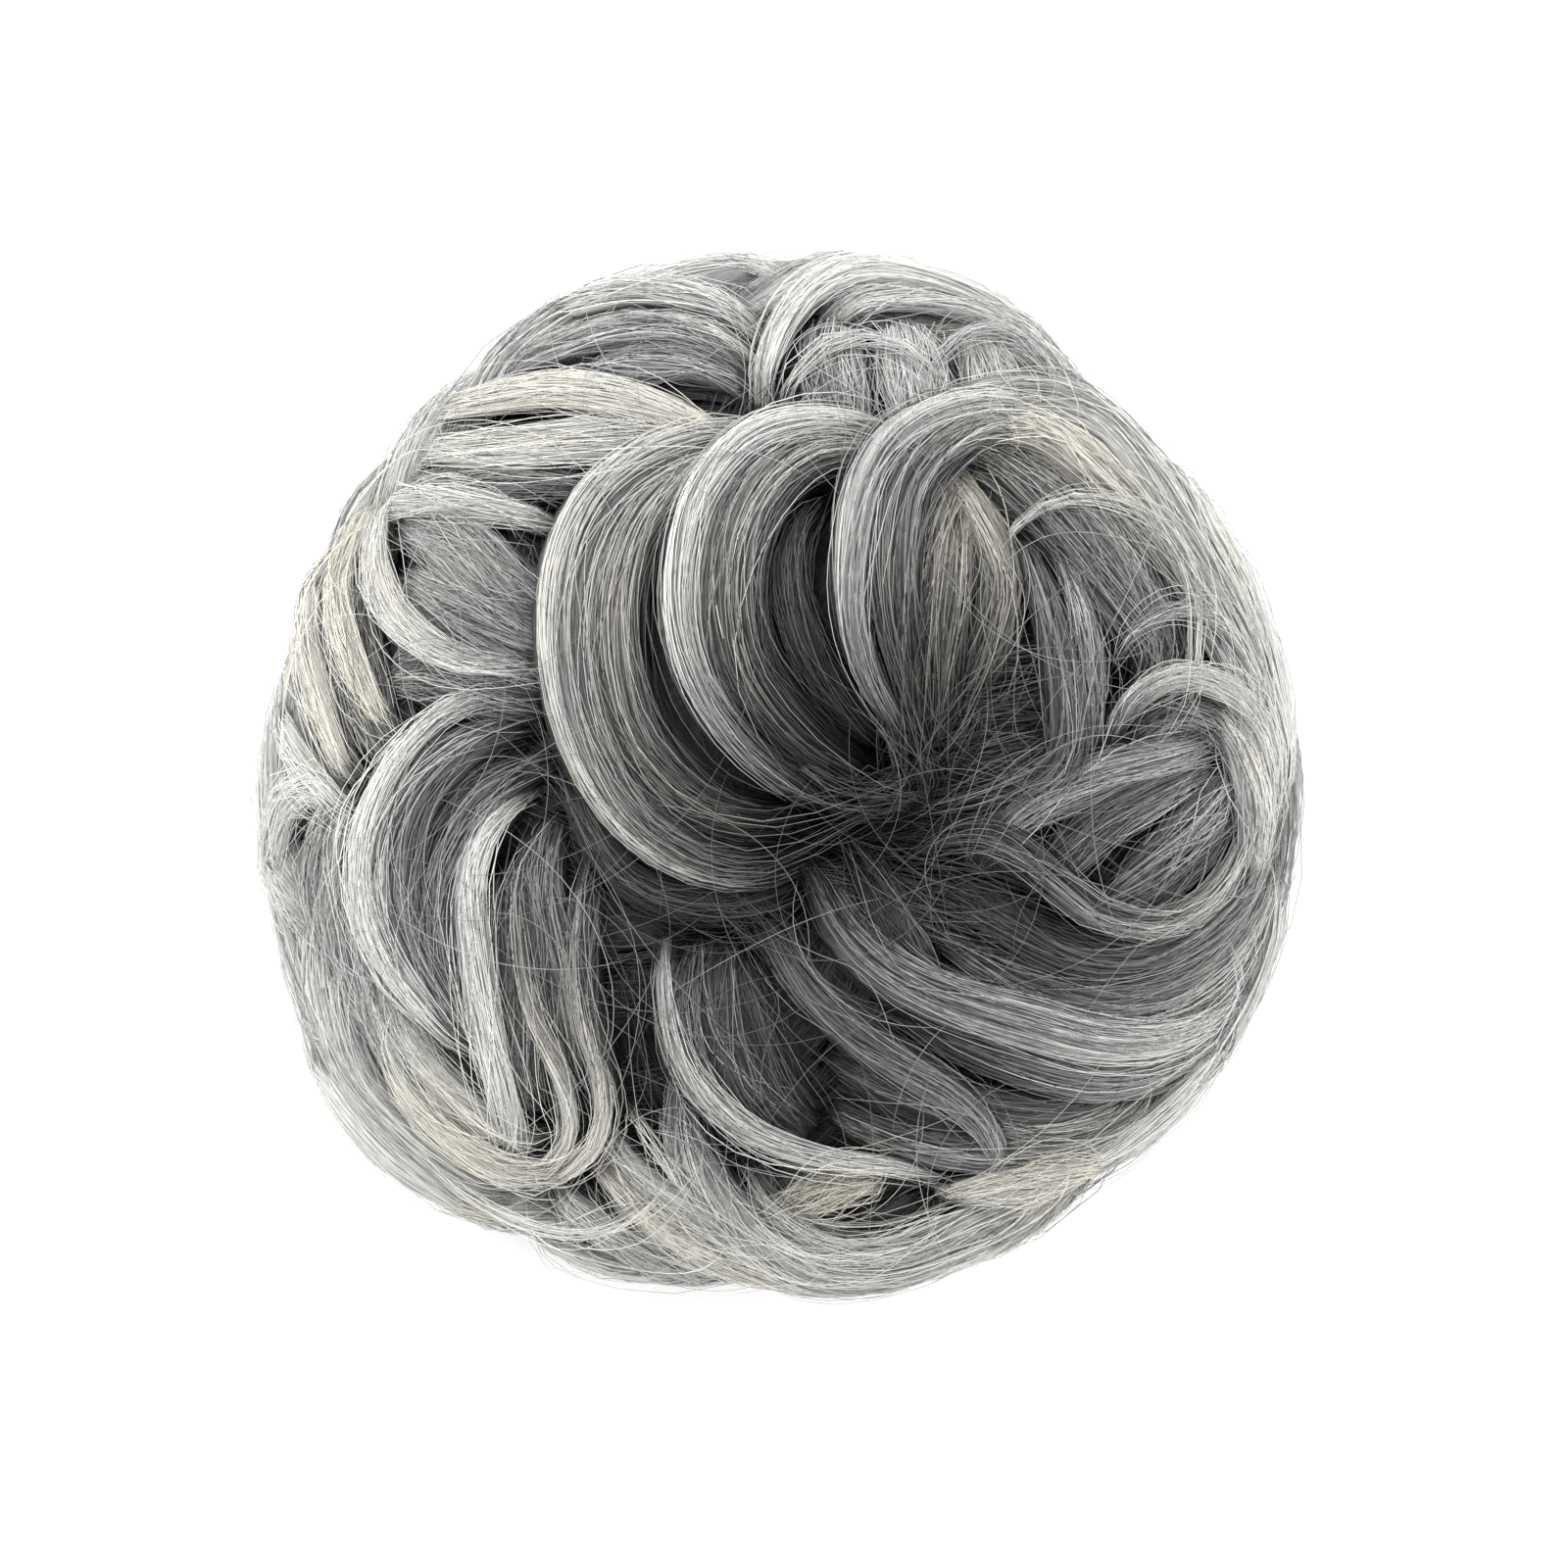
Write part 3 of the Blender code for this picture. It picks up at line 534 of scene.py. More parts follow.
KNOT_STRANDS = (
    Lock(0.018, 0.100, 0, 0.80, 0.0, ((102, 239), (147, 156), (207, 73), (252, 28), (274, -17),
        (207, -47), (109, -92), (11, -152), (-100, -170))),
    Lock(0.120, 0.045, 0, 0.66, 0.0, ((60, -90), (200, -70), (340, -45), (460, -5), (560, 60),
        (620, 130))),
    Lock(0.110, 0.030, 0, 0.60, 0.2, ((80, -130), (220, -110), (360, -80), (480, -30), (580, 20))),
    Lock(0.130, 0.010, 0, 0.58, 0.2, ((160, 30), (300, 60), (440, 80), (600, 100))),
    Lock(0.130, 0.005, 0, 0.50, 0.3, ((200, 140), (340, 160), (480, 190), (600, 200))),
    Lock(0.100, 0.060, 0, 0.68, 0.0, ((170, 260), (215, 140), (250, 50), (255, -20), (170, -65),
        (50, -120))),
    Lock(0.090, 0.050, 0, 0.64, 0.0, ((380, 220), (345, 120), (290, 30), (200, -30), (80, -90))),
    Lock(0.100, 0.055, 0, 0.70, 0.0, ((-60, 100), (30, 20), (130, -30), (250, -30), (380, -10))),
    Lock(0.120, 0.035, 0, 0.56, 0.0, ((40, -120), (160, -150), (300, -180), (450, -220), (600, -280))),
    Lock(0.110, 0.030, 0, 0.52, 0.0, ((-20, -170), (120, -210), (280, -260), (440, -300), (600, -340))),
    Lock(0.100, 0.020, 0, 0.50, 0.1, ((-160, -200), (-80, -270), (0, -360), (60, -460))),
)

LOCK_GROUPS = {
    "crown_curls": CROWN_CURLS,
    "right_falls": RIGHT_FALLS,
    "right_swirl": RIGHT_SWIRL,
    "bottom_locks": BOTTOM_LOCKS,
    "left_locks": LEFT_LOCKS,
    "upper_left_locks": UPPER_LEFT_LOCKS,
    "top_locks": TOP_LOCKS,
}
print("locks on top:", sum(len(locks) for locks in LOCK_GROUPS.values()), "and over the knot:",
      len(KNOT_STRANDS))

# %% [markdown]
# ## The run of one lock
#
# A lock is a flat bundle that follows a smooth curve. At each station along the curve it needs three
# directions: along the hair, across the bundle and away from the bun. Its ends dive under the
# neighbours, as the ends of real curls do, so no cut end shows.

# %% Stations along a lock
STATIONS = 72
PATH_UNIT = 1000
LOCK_FLATNESS = 0.38
LOCK_POINT = 0.14
LOCK_FULLNESS = 0.62
LOCK_THINNEST = 0.0030
DEPTH_AT_ENDS = 0.12
DEPTH_FULLNESS = 0.6
RISE_FULLNESS = 0.8
TUCK = 0.0060
TUCK_POWER = 6
PLACING_ROUNDS = 3


def spline(points, count):
    """A smooth curve through all the points, as an array of evenly spread stations."""
    knots = np.array(points, float)
    last = len(knots) - 1
    place = np.linspace(0, last - 1e-9, count)
    i = place.astype(int)
    t = (place - i)[:, None]
    a, b, c, d = (knots[np.clip(i + k, 0, last)] for k in (-1, 0, 1, 2))
    return 0.5 * (2 * b + (c - a) * t + (2 * a - 5 * b + 4 * c - d) * t**2
                  + (3 * b - a - 3 * c + d) * t**3)


def unit(vectors):
    return vectors / np.linalg.norm(vectors, axis=-1, keepdims=True)


class Run(NamedTuple):
    """A lock's stations: centres, directions, and half its width and thickness at each."""

    centre: np.ndarray
    across: np.ndarray
    away: np.ndarray
    wide: np.ndarray
    deep: np.ndarray
    length: float
    tone: float
    warmth: float
    change: float
    bank: float


WAY = np.linspace(0, 1, STATIONS)
MIDDLE = np.sin(np.pi * WAY)
ENDS = np.abs(2 * WAY - 1)


def rise_of(lift, tuck=TUCK):
    """How far each station stands off the surface. Both ends dive below it."""
    return lift * MIDDLE**RISE_FULLNESS - tuck * ENDS**TUCK_POWER


def raised(points, rise):
    return points + outward(points) * rise[:, None]


def over_plan(path, rise):
    """Raised stations that still lie over their path when the camera sees them from above. What is
    higher is nearer to the camera and looks larger, so it is drawn in a little."""
    target = spline(path, STATIONS)
    place = target
    for _ in range(PLACING_ROUNDS):
        points = raised(above_plan(place), rise)
        nearer = (camera.location.z - points[:, 2:]) / (camera.location.z - WIDEST_HEIGHT)
        lean = outward(above_plan(place))[:, :2]
        place = target * nearer - lean * np.maximum(rise, 0)[:, None] / HALF_WIDTH
    return raised(above_plan(place), rise)


def run_of(centre, width, bank, tone, warmth, change=0.0):
    along = unit(np.gradient(centre, axis=0))
    away = outward(centre)
    across = unit(np.cross(along, away))
    away = np.cross(across, along)
    lean = np.radians(bank) * MIDDLE[:, None]
    across, away = (across * np.cos(lean) + away * np.sin(lean),
                    away * np.cos(lean) - across * np.sin(lean))
    wide = width / 2 * (LOCK_POINT + (1 - LOCK_POINT) * MIDDLE**LOCK_FULLNESS)
    profile = DEPTH_AT_ENDS + (1 - DEPTH_AT_ENDS) * MIDDLE**DEPTH_FULLNESS
    deep = max(width * LOCK_FLATNESS, LOCK_THINNEST) / 2 * profile
    length = np.linalg.norm(np.diff(centre, axis=0), axis=1).sum()
    return Run(centre, across, away, wide, deep, length, tone, warmth, change, bank)


def run_of_lock(lock):
    centre = over_plan(np.array(lock.path) / PATH_UNIT, rise_of(lock.lift * HALF_WIDTH))
    return run_of(centre, lock.width * HALF_WIDTH, lock.bank, lock.tone, lock.warmth, lock.change)


example = run_of_lock(CROWN_CURLS[0])
print("first curl:", round(example.length * 1000), "mm long,",
      round(example.wide.max() * 2000, 1), "mm wide")

# %% [markdown]
# ## Strands as fine tubes
#
# Each strand is a closed tube of three sides, thin enough that three are plenty. There are thousands,
# so they are made as arrays and joined into one mesh for each group of locks. A strand keeps its place
# in the bundle but wanders a little, and some stray. Three numbers ride along in a colour attribute for
# the finish to read: how light the strand is, painted light and shade included, how warm, and how near it
# is to a tucked end.

# %% Sizes and shades of the strands
STRAND_WIDTH = 0.00016
STRANDS_PER_MM = 13.0
SIDES = 3
SEGMENT_LENGTH = 0.0056
FEWEST_STATIONS = 7
MOST_STATIONS = 25
WIDEST_PLY = 0.0019
PLY_RELIEF = 0.30
PLY_WIDTH = 1.15
PLY_INSET = 0.4
WEAVE = 0.45
WEAVE_TURNS = 1.1
WAVE_TURNS = (0.7, 1.5)
WRAP = 1.30
FARTHEST_WRAP = 1.75
EDGE_TURN = 0.17
LOOSENESS = (1.0, 2.4, 6.0)
LOOSENESS_SHARE = (0.60, 0.27, 0.13)
DRIFT = 0.25
LATEST_START = 0.13
SHORT_SHARE = 0.16
SHORT_AT_ROOT = 0.30
SHORT_AT_TIP = 0.35
WANDER = 0.00024
NARROW_WANDER = 0.05
TONE_SPREAD = 0.10
WARMTH_SPREAD = 0.22
PLY_TONES = 0.16
STREAK_TONES = 0.10
STREAKS_ROUND = 2.6
# Painted shade in the ply grooves and at the edges of a lock, and painted light on the raised edge of a
# banked lock.
GROOVE_SHADE = 0.16
EDGE_SHADE = 0.15
RIDGE_LIGHT = 0.010
# Painted shade round the knot's hollow, and painted light towards the rim and towards the upper left,
# where the stronger panel stands.
KNOT_SHADE = -0.41
KNOT_SHADE_REACH = 0.41
RIM_LIGHT = 0.30
RIM_START = 0.66
RIM_REACH = 0.30
PAINTED_UPPER_LEFT_LIGHT = 0.03
FADE_SHARE = 0.16
print("strand width", STRAND_WIDTH * 1000, "mm,", STRANDS_PER_MM, "strands a millimetre")


# %% Tubes from arrays
def tube_mesh(name, batches):
    """Joins batches of (points, across, away, radius, colour) into one mesh of closed tubes."""
    corners, faces, colours = [], [], []
    offset = 0
    angles = np.arange(SIDES) * math.tau / SIDES
    for points, across, away, radius, colour in batches:
        count, stations = radius.shape
        ring = (across[:, :, None] * np.cos(angles)[:, None]
                + away[:, :, None] * np.sin(angles)[:, None])
        tube = points[:, :, None] + ring * radius[:, :, None, None]
        corners.append(tube.reshape(-1, 3))
        colours.append(np.repeat(colour.reshape(-1, 3), SIDES, axis=0))
        place = np.arange(count * stations * SIDES).reshape(count, stations, SIDES) + offset
        turned = np.roll(place, -1, axis=2)
        a, b = place[:, :-1].ravel(), turned[:, :-1].ravel()
        c, d = turned[:, 1:].ravel(), place[:, 1:].ravel()
        faces.append(np.stack((a, b, c), axis=1))
        faces.append(np.stack((a, c, d), axis=1))
        faces.append(place[:, 0, ::-1])
        faces.append(place[:, -1])
        offset += count * stations * SIDES
    mesh = bpy.data.meshes.new(name)
    mesh.from_pydata(np.concatenate(corners), [], np.concatenate(faces))
    shade = mesh.attributes.new("strand", "FLOAT_COLOR", "POINT")
    rgb = np.concatenate(colours)
    shade.data.foreach_set("color", np.column_stack((rgb, np.ones(len(rgb)))).ravel())
    mesh.shade_smooth()
    return mesh


def along_run(values, share):
    """Reads an array of stations at shares of its way."""
    if values.ndim == 1:
        return np.interp(share, WAY, values)
    return np.stack([np.interp(share, WAY, column) for column in values.T], axis=-1)


def shade_of_place(points):
    """Painted light and shade by place: lighter towards the rim and the upper left, as painted light, and
    darker towards the knot, as painted shade in its hollow.
    """
    x, y = points[..., 0] / HALF_WIDTH, points[..., 1] / HALF_WIDTH
    from_knot = np.hypot(x - KNOT[0] / HALF_WIDTH, y - KNOT[1] / HALF_WIDTH)
    rim = np.clip((np.hypot(x, y) - RIM_START) / RIM_REACH, 0, 1)
    knot = np.exp(-((from_knot / KNOT_SHADE_REACH) ** 2))
    return KNOT_SHADE * knot + RIM_LIGHT * rim + PAINTED_UPPER_LEFT_LIGHT * (y - x)


print("lighter at the first curl's root by",
      round(float(shade_of_place(example.centre)[0]), 2))


# %% Strands of one lock
def strand_batch(run, draw, per_mm=STRANDS_PER_MM, wander=WANDER, segment=SEGMENT_LENGTH):
    """The strands of one lock. They wrap its core, in plies that weave slowly across it."""
    full_width = run.wide.max() * 2
    count = max(int(full_width * 1000 * per_mm * (0.70 + 0.45 * run.tone)), 1)
    wander = min(wander, full_width * NARROW_WANDER)
    stations = int(np.clip(run.length / segment, FEWEST_STATIONS, MOST_STATIONS))
    plies = max(int(round(full_width / WIDEST_PLY)), 1)
    ply = draw.integers(0, plies, count)
    short = draw.uniform(0, 1, count) < SHORT_SHARE
    start = draw.uniform(0.0, LATEST_START, count) + short * draw.uniform(0, SHORT_AT_ROOT, count)
    end = draw.uniform(1 - LATEST_START, 1.0, count) - short * draw.uniform(0, SHORT_AT_TIP, count)
    share = start[:, None] + (end - start)[:, None] * np.linspace(0, 1, stations)

    ply_centre = (np.arange(plies) + 0.5 + draw.uniform(-0.22, 0.22, plies)) / plies * 2 - 1
    ply_phase = draw.uniform(0, 1, plies)[ply]
    weave = WEAVE / plies * np.sin(math.tau * (share * WEAVE_TURNS + ply_phase[:, None]))
    around = draw.uniform(-0.5, math.pi + 0.5, count)[:, None]
    around = around + draw.normal(0, 0.4, count)[:, None] * (share - 0.5)
    freedom = draw.choice(LOOSENESS, count, p=LOOSENESS_SHARE)
    drift = draw.normal(0, DRIFT, count) * freedom
    sideways = (ply_centre[ply][:, None] * (1 - PLY_INSET / plies) + weave
                + np.cos(around) * PLY_WIDTH / plies + drift[:, None] * (share - 0.5))
    arc = np.clip(sideways * WRAP, -FARTHEST_WRAP, FARTHEST_WRAP)
    lean = arc * (1 + EDGE_TURN * arc**2)
    relief = np.sin(around) * PLY_RELIEF + draw.uniform(-0.06, 0.12, plies)[ply][:, None]
    relief = relief + draw.uniform(-0.05, 0.10, count)[:, None]

    size = freedom[:, None] * wander
    waves = np.zeros((2, count, stations))
    for cycles in WAVE_TURNS:
        for axis in range(2):
            phase = draw.uniform(0, 1, count)[:, None]
            waves[axis] += np.sin(math.tau * (share * cycles + phase)) / cycles**0.5
    across = along_run(run.across, share)
    away = along_run(run.away, share)
    aside = np.sin(lean) * along_run(run.wide, share) + waves[0] * size
    above = (np.cos(lean) + relief) * along_run(run.deep, share) + np.abs(waves[1]) * size * 0.5
    points = along_run(run.centre, share) + across * aside[..., None] + away * above[..., None]
    points[..., 2] = np.maximum(points[..., 2], STRAND_WIDTH)

    fade = np.clip(np.minimum(share, 1 - share) / FADE_SHARE, 0, 1)
    radius = STRAND_WIDTH / 2 * draw.uniform(0.7, 1.3, count)[:, None] * (0.5 + 0.5 * fade)
    streak = np.sin(around[:, 0] * STREAKS_ROUND + ply_phase * math.tau)
    tone = (run.tone + draw.uniform(-1, 1, plies)[ply] * PLY_TONES + streak * STREAK_TONES
            + draw.normal(0, TONE_SPREAD, count))
    warmth = run.warmth + draw.normal(0, WARMTH_SPREAD, count)
    # Painted light and shade: by place, as a sheen and shade along the lock, on the raised edge of a
    # banked lock, in the ply grooves and at the lock's edges.
    light = tone[:, None] + shade_of_place(points) + run.change * (share - 0.5)
    light = light + RIDGE_LIGHT * run.bank * np.clip(sideways, -1, 1)
    light = light - GROOVE_SHADE * np.cos(around) ** 4
    light = light - EDGE_SHADE * np.minimum(np.abs(sideways), 1) ** 3
    colour = np.stack(np.broadcast_arrays(light, warmth[:, None], fade), axis=-1)
    return points, across, away, radius, np.clip(colour, 0, 1)


trial = strand_batch(example, np.random.default_rng(1))
print("first curl:", len(trial[0]), "strands of", trial[0].shape[1], "stations")

# %% [markdown]
# ## The core of each lock
#
# Behind its outer strands a real lock is packed with more hair. A flat tube inside each bundle stands
# for it, swept ring by ring along the same run. It stops the light that would fall through the strands.

# %% Lock cores
CORE_SIDES = 12
CORE_STEP = 4
CORE_SHARE = 0.93
CORE_DROP = 0.06
CORE_LOWEST = 0.0005
LIE_SQUEEZE = 0.03
LIE_APART = 7.3


def ring_edges(verts):
    members = set(verts)
    return {edge for v in verts for edge in v.link_edges if set(edge.verts) <= members}


def sweep_core(shape, run, number, shade, lie):
    """One flat tube. Every vertex keeps its lightness, painted light and shade included, and where it
    lies in the lock: millimetres round it from its crest, squeezed millimetres along and the lock's own
    number."""
    rings = []
    stations = list(range(2, STATIONS - 2, CORE_STEP))
    # The lightness holds painted shade at the knot and painted light at the rim, with the painted sheen
    # and shade along the lock.
    light = np.clip(run.tone + shade_of_place(run.centre) + run.change * (WAY - 0.5), 0, 1)
    for i in stations:
        along = np.cross(run.away[i], run.across[i])
        axes = (run.across[i] * run.wide[i] * CORE_SHARE, run.away[i] * run.deep[i] * CORE_SHARE, along)
        place = Matrix([Vector(a) for a in axes]).transposed().to_4x4()
        place.translation = Vector(run.centre[i] - run.away[i] * run.deep[i] * CORE_DROP)
        ring = bmesh.ops.create_circle(shape, segments=CORE_SIDES, radius=1, matrix=place,
                                       cap_ends=i in (stations[0], stations[-1]))
        fade = min(i, STATIONS - 1 - i) / (FADE_SHARE * STATIONS)
        middle_radius = (run.wide[i] + run.deep[i]) / 2 * 1000
        for vertex in ring["verts"]:
            out = vertex.co - place.translation
            angle = math.atan2(out.dot(Vector(run.across[i])) / run.wide[i],
                               out.dot(Vector(run.away[i])) / run.deep[i])
            vertex[lie] = (angle * middle_radius, run.length * 1000 * i / STATIONS * LIE_SQUEEZE,
                           number * LIE_APART)
            vertex[shade] = (light[i], run.warmth, min(fade, 1), 1)
        rings.append(ring["verts"])
    for first, second in zip(rings, rings[1:]):
        loops = [edge for verts in (first, second) for edge in ring_edges(verts)]
        bmesh.ops.bridge_loops(shape, edges=loops)


def cores_mesh(name, runs):
    shape = bmesh.new()
    shade = shape.verts.layers.float_color.new("strand")
    lie = shape.verts.layers.float_vector.new("lie")
    for number, run in enumerate(runs):
        sweep_core(shape, run, number, shade, lie)
    for vertex in shape.verts:
        vertex.co.z = max(vertex.co.z, CORE_LOWEST)
    bmesh.ops.recalc_face_normals(shape, faces=shape.faces)
    mesh = from_bmesh(shape, name)
    mesh.shade_smooth()
    return mesh


print("a core ring has", CORE_SIDES, "sides, and there is one at every", CORE_STEP, "stations")

# %% [markdown]
# ## Hair finish
#
# False hair is smooth plastic fibre: pale, slightly see-through and glossier than real hair. One finish
# serves every strand. It reads the three numbers of the strand and looks its colour up on two ramps,
# silver and ivory, then darkens it towards the tucked ends, where a bun is always in shade.

# %% Strand and core finishes
SILVER = ((0.0, (0.006, 0.006, 0.007)), (0.25, (0.028, 0.029, 0.032)), (0.5, (0.115, 0.119, 0.123)),
          (0.75, (0.35, 0.358, 0.358)), (1.0, (0.73, 0.735, 0.715)))
IVORY = ((0.0, (0.007, 0.006, 0.005)), (0.25, (0.033, 0.031, 0.027)), (0.5, (0.133, 0.126, 0.110)),
         (0.75, (0.385, 0.364, 0.312)), (1.0, (0.75, 0.712, 0.622)))


class HairFinish(Finish):
    """Looks a lightness and a warmth up on the two ramps of the hair."""

    def __init__(self, name, roughness):
        super().__init__(name, Metallic=0.0)
        shade = self.node("ShaderNodeAttribute", {"attribute_name": "strand"}, output="Color")
        parts = self.node("ShaderNodeSeparateColor", inputs={"Color": shade}).socket.node
        self.tone = Value(self, parts.outputs["Red"])
        self.warmth = Value(self, parts.outputs["Green"])
        self.fade = Value(self, parts.outputs["Blue"])
        self.patches = self.noise(self.here(), 55.0, 2.0)
        self.roughness = roughness

    def dye(self, change):
        # The patches vary the tone at random; the fade term is painted shade that darkens the tucked
        # ends.
        light = self.tone + change + (self.patches - 0.5) * 0.14 - (1 - self.fade) * 0.24
        warmth = self.warmth + (self.patches - 0.5) * 0.9 - 0.05
        colour = self.mix(warmth, self.ramp(light, SILVER), self.ramp(light, IVORY))
        self.paint(Base_Color=colour, Roughness=self.patches * 0.12 + self.roughness)


strand_finish = HairFinish("silver_strands", 0.30)
strand_grain = strand_finish.noise(strand_finish.here(), 700.0, 2.0)
strand_finish.dye((strand_grain - 0.5) * 0.10)
strand_material = strand_finish.material
print("finish:", strand_material.name)

# %% [markdown]
# The cores have no strands of their own, so theirs are painted: two noises read where a point lies in
# its lock, and because the way along is squeezed they draw long streaks, some fine and some broad.

# %% Core finish
core_finish = HairFinish("packed_strands", 0.36)
lie = core_finish.node("ShaderNodeAttribute", {"attribute_name": "lie"}, output="Vector")
fine = core_finish.noise(lie, 5.5, 3.0)
broad = core_finish.noise(lie, 1.1, 2.0)
core_finish.dye((fine - 0.5) * 1.10 + (broad - 0.5) * 0.40 - 0.10)
core_finish.bump(fine * 0.6 + broad * 0.8, 0.0008)
core_material = core_finish.material
print("finish:", core_material.name)

# %% [markdown]
# ## Dressing the top
#
# Under each lock lies wider hair that runs the same way, so that no gap beside it is empty. It is darker,
# as painted shade under the lock above.
# Each group of locks becomes four pieces, the strands and the cores of both layers, so that no mesh
# grows too heavy.

# %% Locks on top
BODY = "root"
HAIR_NODE = "hair_locks"
added = []


def keep(name, mesh, material, node):
    """Puts a finished mesh in the scene, on its body, in the place of its solid."""
    mesh.materials.append(material)
    piece = add_piece(name, mesh)
    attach(piece, BODY)
    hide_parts(node)
    mesh.calc_loop_triangles()
    added.append((name, len(mesh.loop_triangles)))


THINNEST_WITH_CORE = 0.0025
NARROWEST_WITH_UNDER = 0.05
UNDER_WIDTH = 1.30
UNDER_DROP = 0.060
# The lower layer is darker, as painted shade under the lock above it.
LOWER_LAYER_SHADE = 0.62
FIRST_SEED = 11
laid = []


def dress(group, runs, seed, cores=True, **settings):
    draw = np.random.default_rng(seed)
    batches = [strand_batch(run, draw, **settings) for run in runs]
    laid.extend(batch[0].reshape(-1, 3) for batch in batches)
    keep(group, tube_mesh(group, batches), strand_material, HAIR_NODE)
    if not cores:
        return
    cored = [run for run in runs if run.wide.max() * 2 > THINNEST_WITH_CORE]
    keep(group + "_cores", cores_mesh(group + "_cores", cored), core_material, HAIR_NODE)


def lower_lock(lock):
    """The wider hair that a lock lies on, darker as painted shade. It runs the same way."""
    return lock._replace(width=lock.width * UNDER_WIDTH, lift=lock.lift - UNDER_DROP,
                         bank=lock.bank / 2, tone=lock.tone * LOWER_LAYER_SHADE)


top_runs = []
for seed, (group, locks) in enumerate(LOCK_GROUPS.items(), start=FIRST_SEED):
    upper = [run_of_lock(lock) for lock in locks]
    dress(group, upper, seed)
    lower = [run_of_lock(lower_lock(lock)) for lock in locks if lock.width > NARROWEST_WITH_UNDER]
    dress(group + "_lower", lower, seed + 100, per_mm=3.5)
    top_runs.extend(upper)
dress("knot_strands", [run_of_lock(lock) for lock in KNOT_STRANDS], 23, cores=False, per_mm=5.0,
      wander=0.0008)
print(added)

# %% [markdown]
# ## Dressing the side and the underside
#
# More curls leave the sewn ring under the bun and sweep up its side, one beside the other. A loop with
# seeded random turns lays them, because no two real curls are alike but all do the same.

# %% Side locks
SIDE_LOCKS = 24
SIDE_LOCK_WIDTH = 0.0130
SIDE_LOCK_TURN = 58.0
SIDE_LOCK_RELIEF = 0.0022
SIDE_LOCK_LOWEST = 154.0
SIDE_LOCK_HIGHEST = 66.0
SIDE_LOCK_SINK = 0.0016
SIDE_LOCK_TONES = (0.56, 0.90)
SIDE_PATH_POINTS = 6
LOWER_SINK = 0.0042
# The lower layer of side locks is darker, as painted shade under the upper layer.
SHADED_LOWER_TONES = (0.42, 0.62)
RIGHT_PRESS = 0.0024
LEFT_SWELL = 0.0018


def side_inset(azimuth):
    """How far the side locks press into the bun on its right. They swell out at the lower left."""
    return RIGHT_PRESS * closeness(azimuth, 0, 22) - LEFT_SWELL * closeness(azimuth, 200, 38)


def side_runs(count, width, draw, sink, tones):
    runs = []
    way = np.linspace(0, 1, SIDE_PATH_POINTS)
    for i in range(count):
        start = 360 * i / count + draw.uniform(-4, 4)
        turn = SIDE_LOCK_TURN * draw.uniform(0.75, 1.25)
        sway = draw.uniform(-9, 9)
        azimuth = start + turn * way**1.4 + sway * np.sin(math.tau * way)
        polar = SIDE_LOCK_LOWEST + (SIDE_LOCK_HIGHEST - SIDE_LOCK_LOWEST) * way
        points = on_bun(azimuth, polar, side_inset(azimuth))
        lift = SIDE_LOCK_RELIEF * (draw.uniform(0.1, 0.9) if i % 2 else draw.uniform(-1.2, -0.6))
        centre = raised(spline(points, STATIONS), rise_of(lift - sink))
        runs.append(run_of(centre, width * draw.uniform(0.85, 1.2), draw.uniform(-14, 14),
                           draw.uniform(*tones), draw.uniform(0, 0.4)))
    return runs


side_draw = np.random.default_rng(7)
side_upper = side_runs(SIDE_LOCKS, SIDE_LOCK_WIDTH, side_draw, SIDE_LOCK_SINK, SIDE_LOCK_TONES)
dress("side_locks", side_upper, 31, per_mm=4.4, segment=0.0075)
side_lower = side_runs(SIDE_LOCKS - 3, SIDE_LOCK_WIDTH * UNDER_WIDTH, side_draw, LOWER_SINK, SHADED_LOWER_TONES)
dress("side_locks_lower", side_lower, 32, per_mm=1.3, segment=0.010)
print(added[-4:])

# %% [markdown]
# ## The wound hair underneath
#
# Between the locks the eye falls on dark hair that is wound round the hollow. Its near black is partly
# the hair's own colour and partly painted shade for the deep gaps. It is a smooth body with the same
# dimple, cut out from below for the sewn ring and for the wearer's own hair, and finer dark strands run
# over it towards the knot, dark as well as painted shade.

# %% Backing
BACKING_DEPTH = 0.0058
BAND_BORE = 0.045
BAND_CORD = 0.006
WEFT_WALL = 0.0038
WEFT_LIP = 0.0017
CLEARANCE = 0.0003
HOLLOW_HEIGHT = 0.036
HOLLOW_FILLET = 0.0065
GROOVE_RADIUS = BAND_CORD / 2 + CLEARANCE
WEFT_HEIGHT = 2 * (GROOVE_RADIUS + WEFT_LIP)
WEFT_OUTER = BAND_BORE / 2 + BAND_CORD / 2 + GROOVE_RADIUS + WEFT_WALL


def backing_mesh():
    shape = bmesh.new()
    bmesh.ops.create_uvsphere(shape, u_segments=96, v_segments=48, radius=1)
    for vertex in shape.verts:
        azimuth = math.degrees(math.atan2(vertex.co.y, vertex.co.x))
        polar = math.degrees(math.acos(max(-1.0, min(1.0, vertex.co.z))))
        vertex.co = Vector(on_bun(np.array(azimuth), np.array(polar), BACKING_DEPTH))
    bmesh.ops.recalc_face_normals(shape, faces=shape.faces)
    return from_bmesh(shape, "wound_backing")


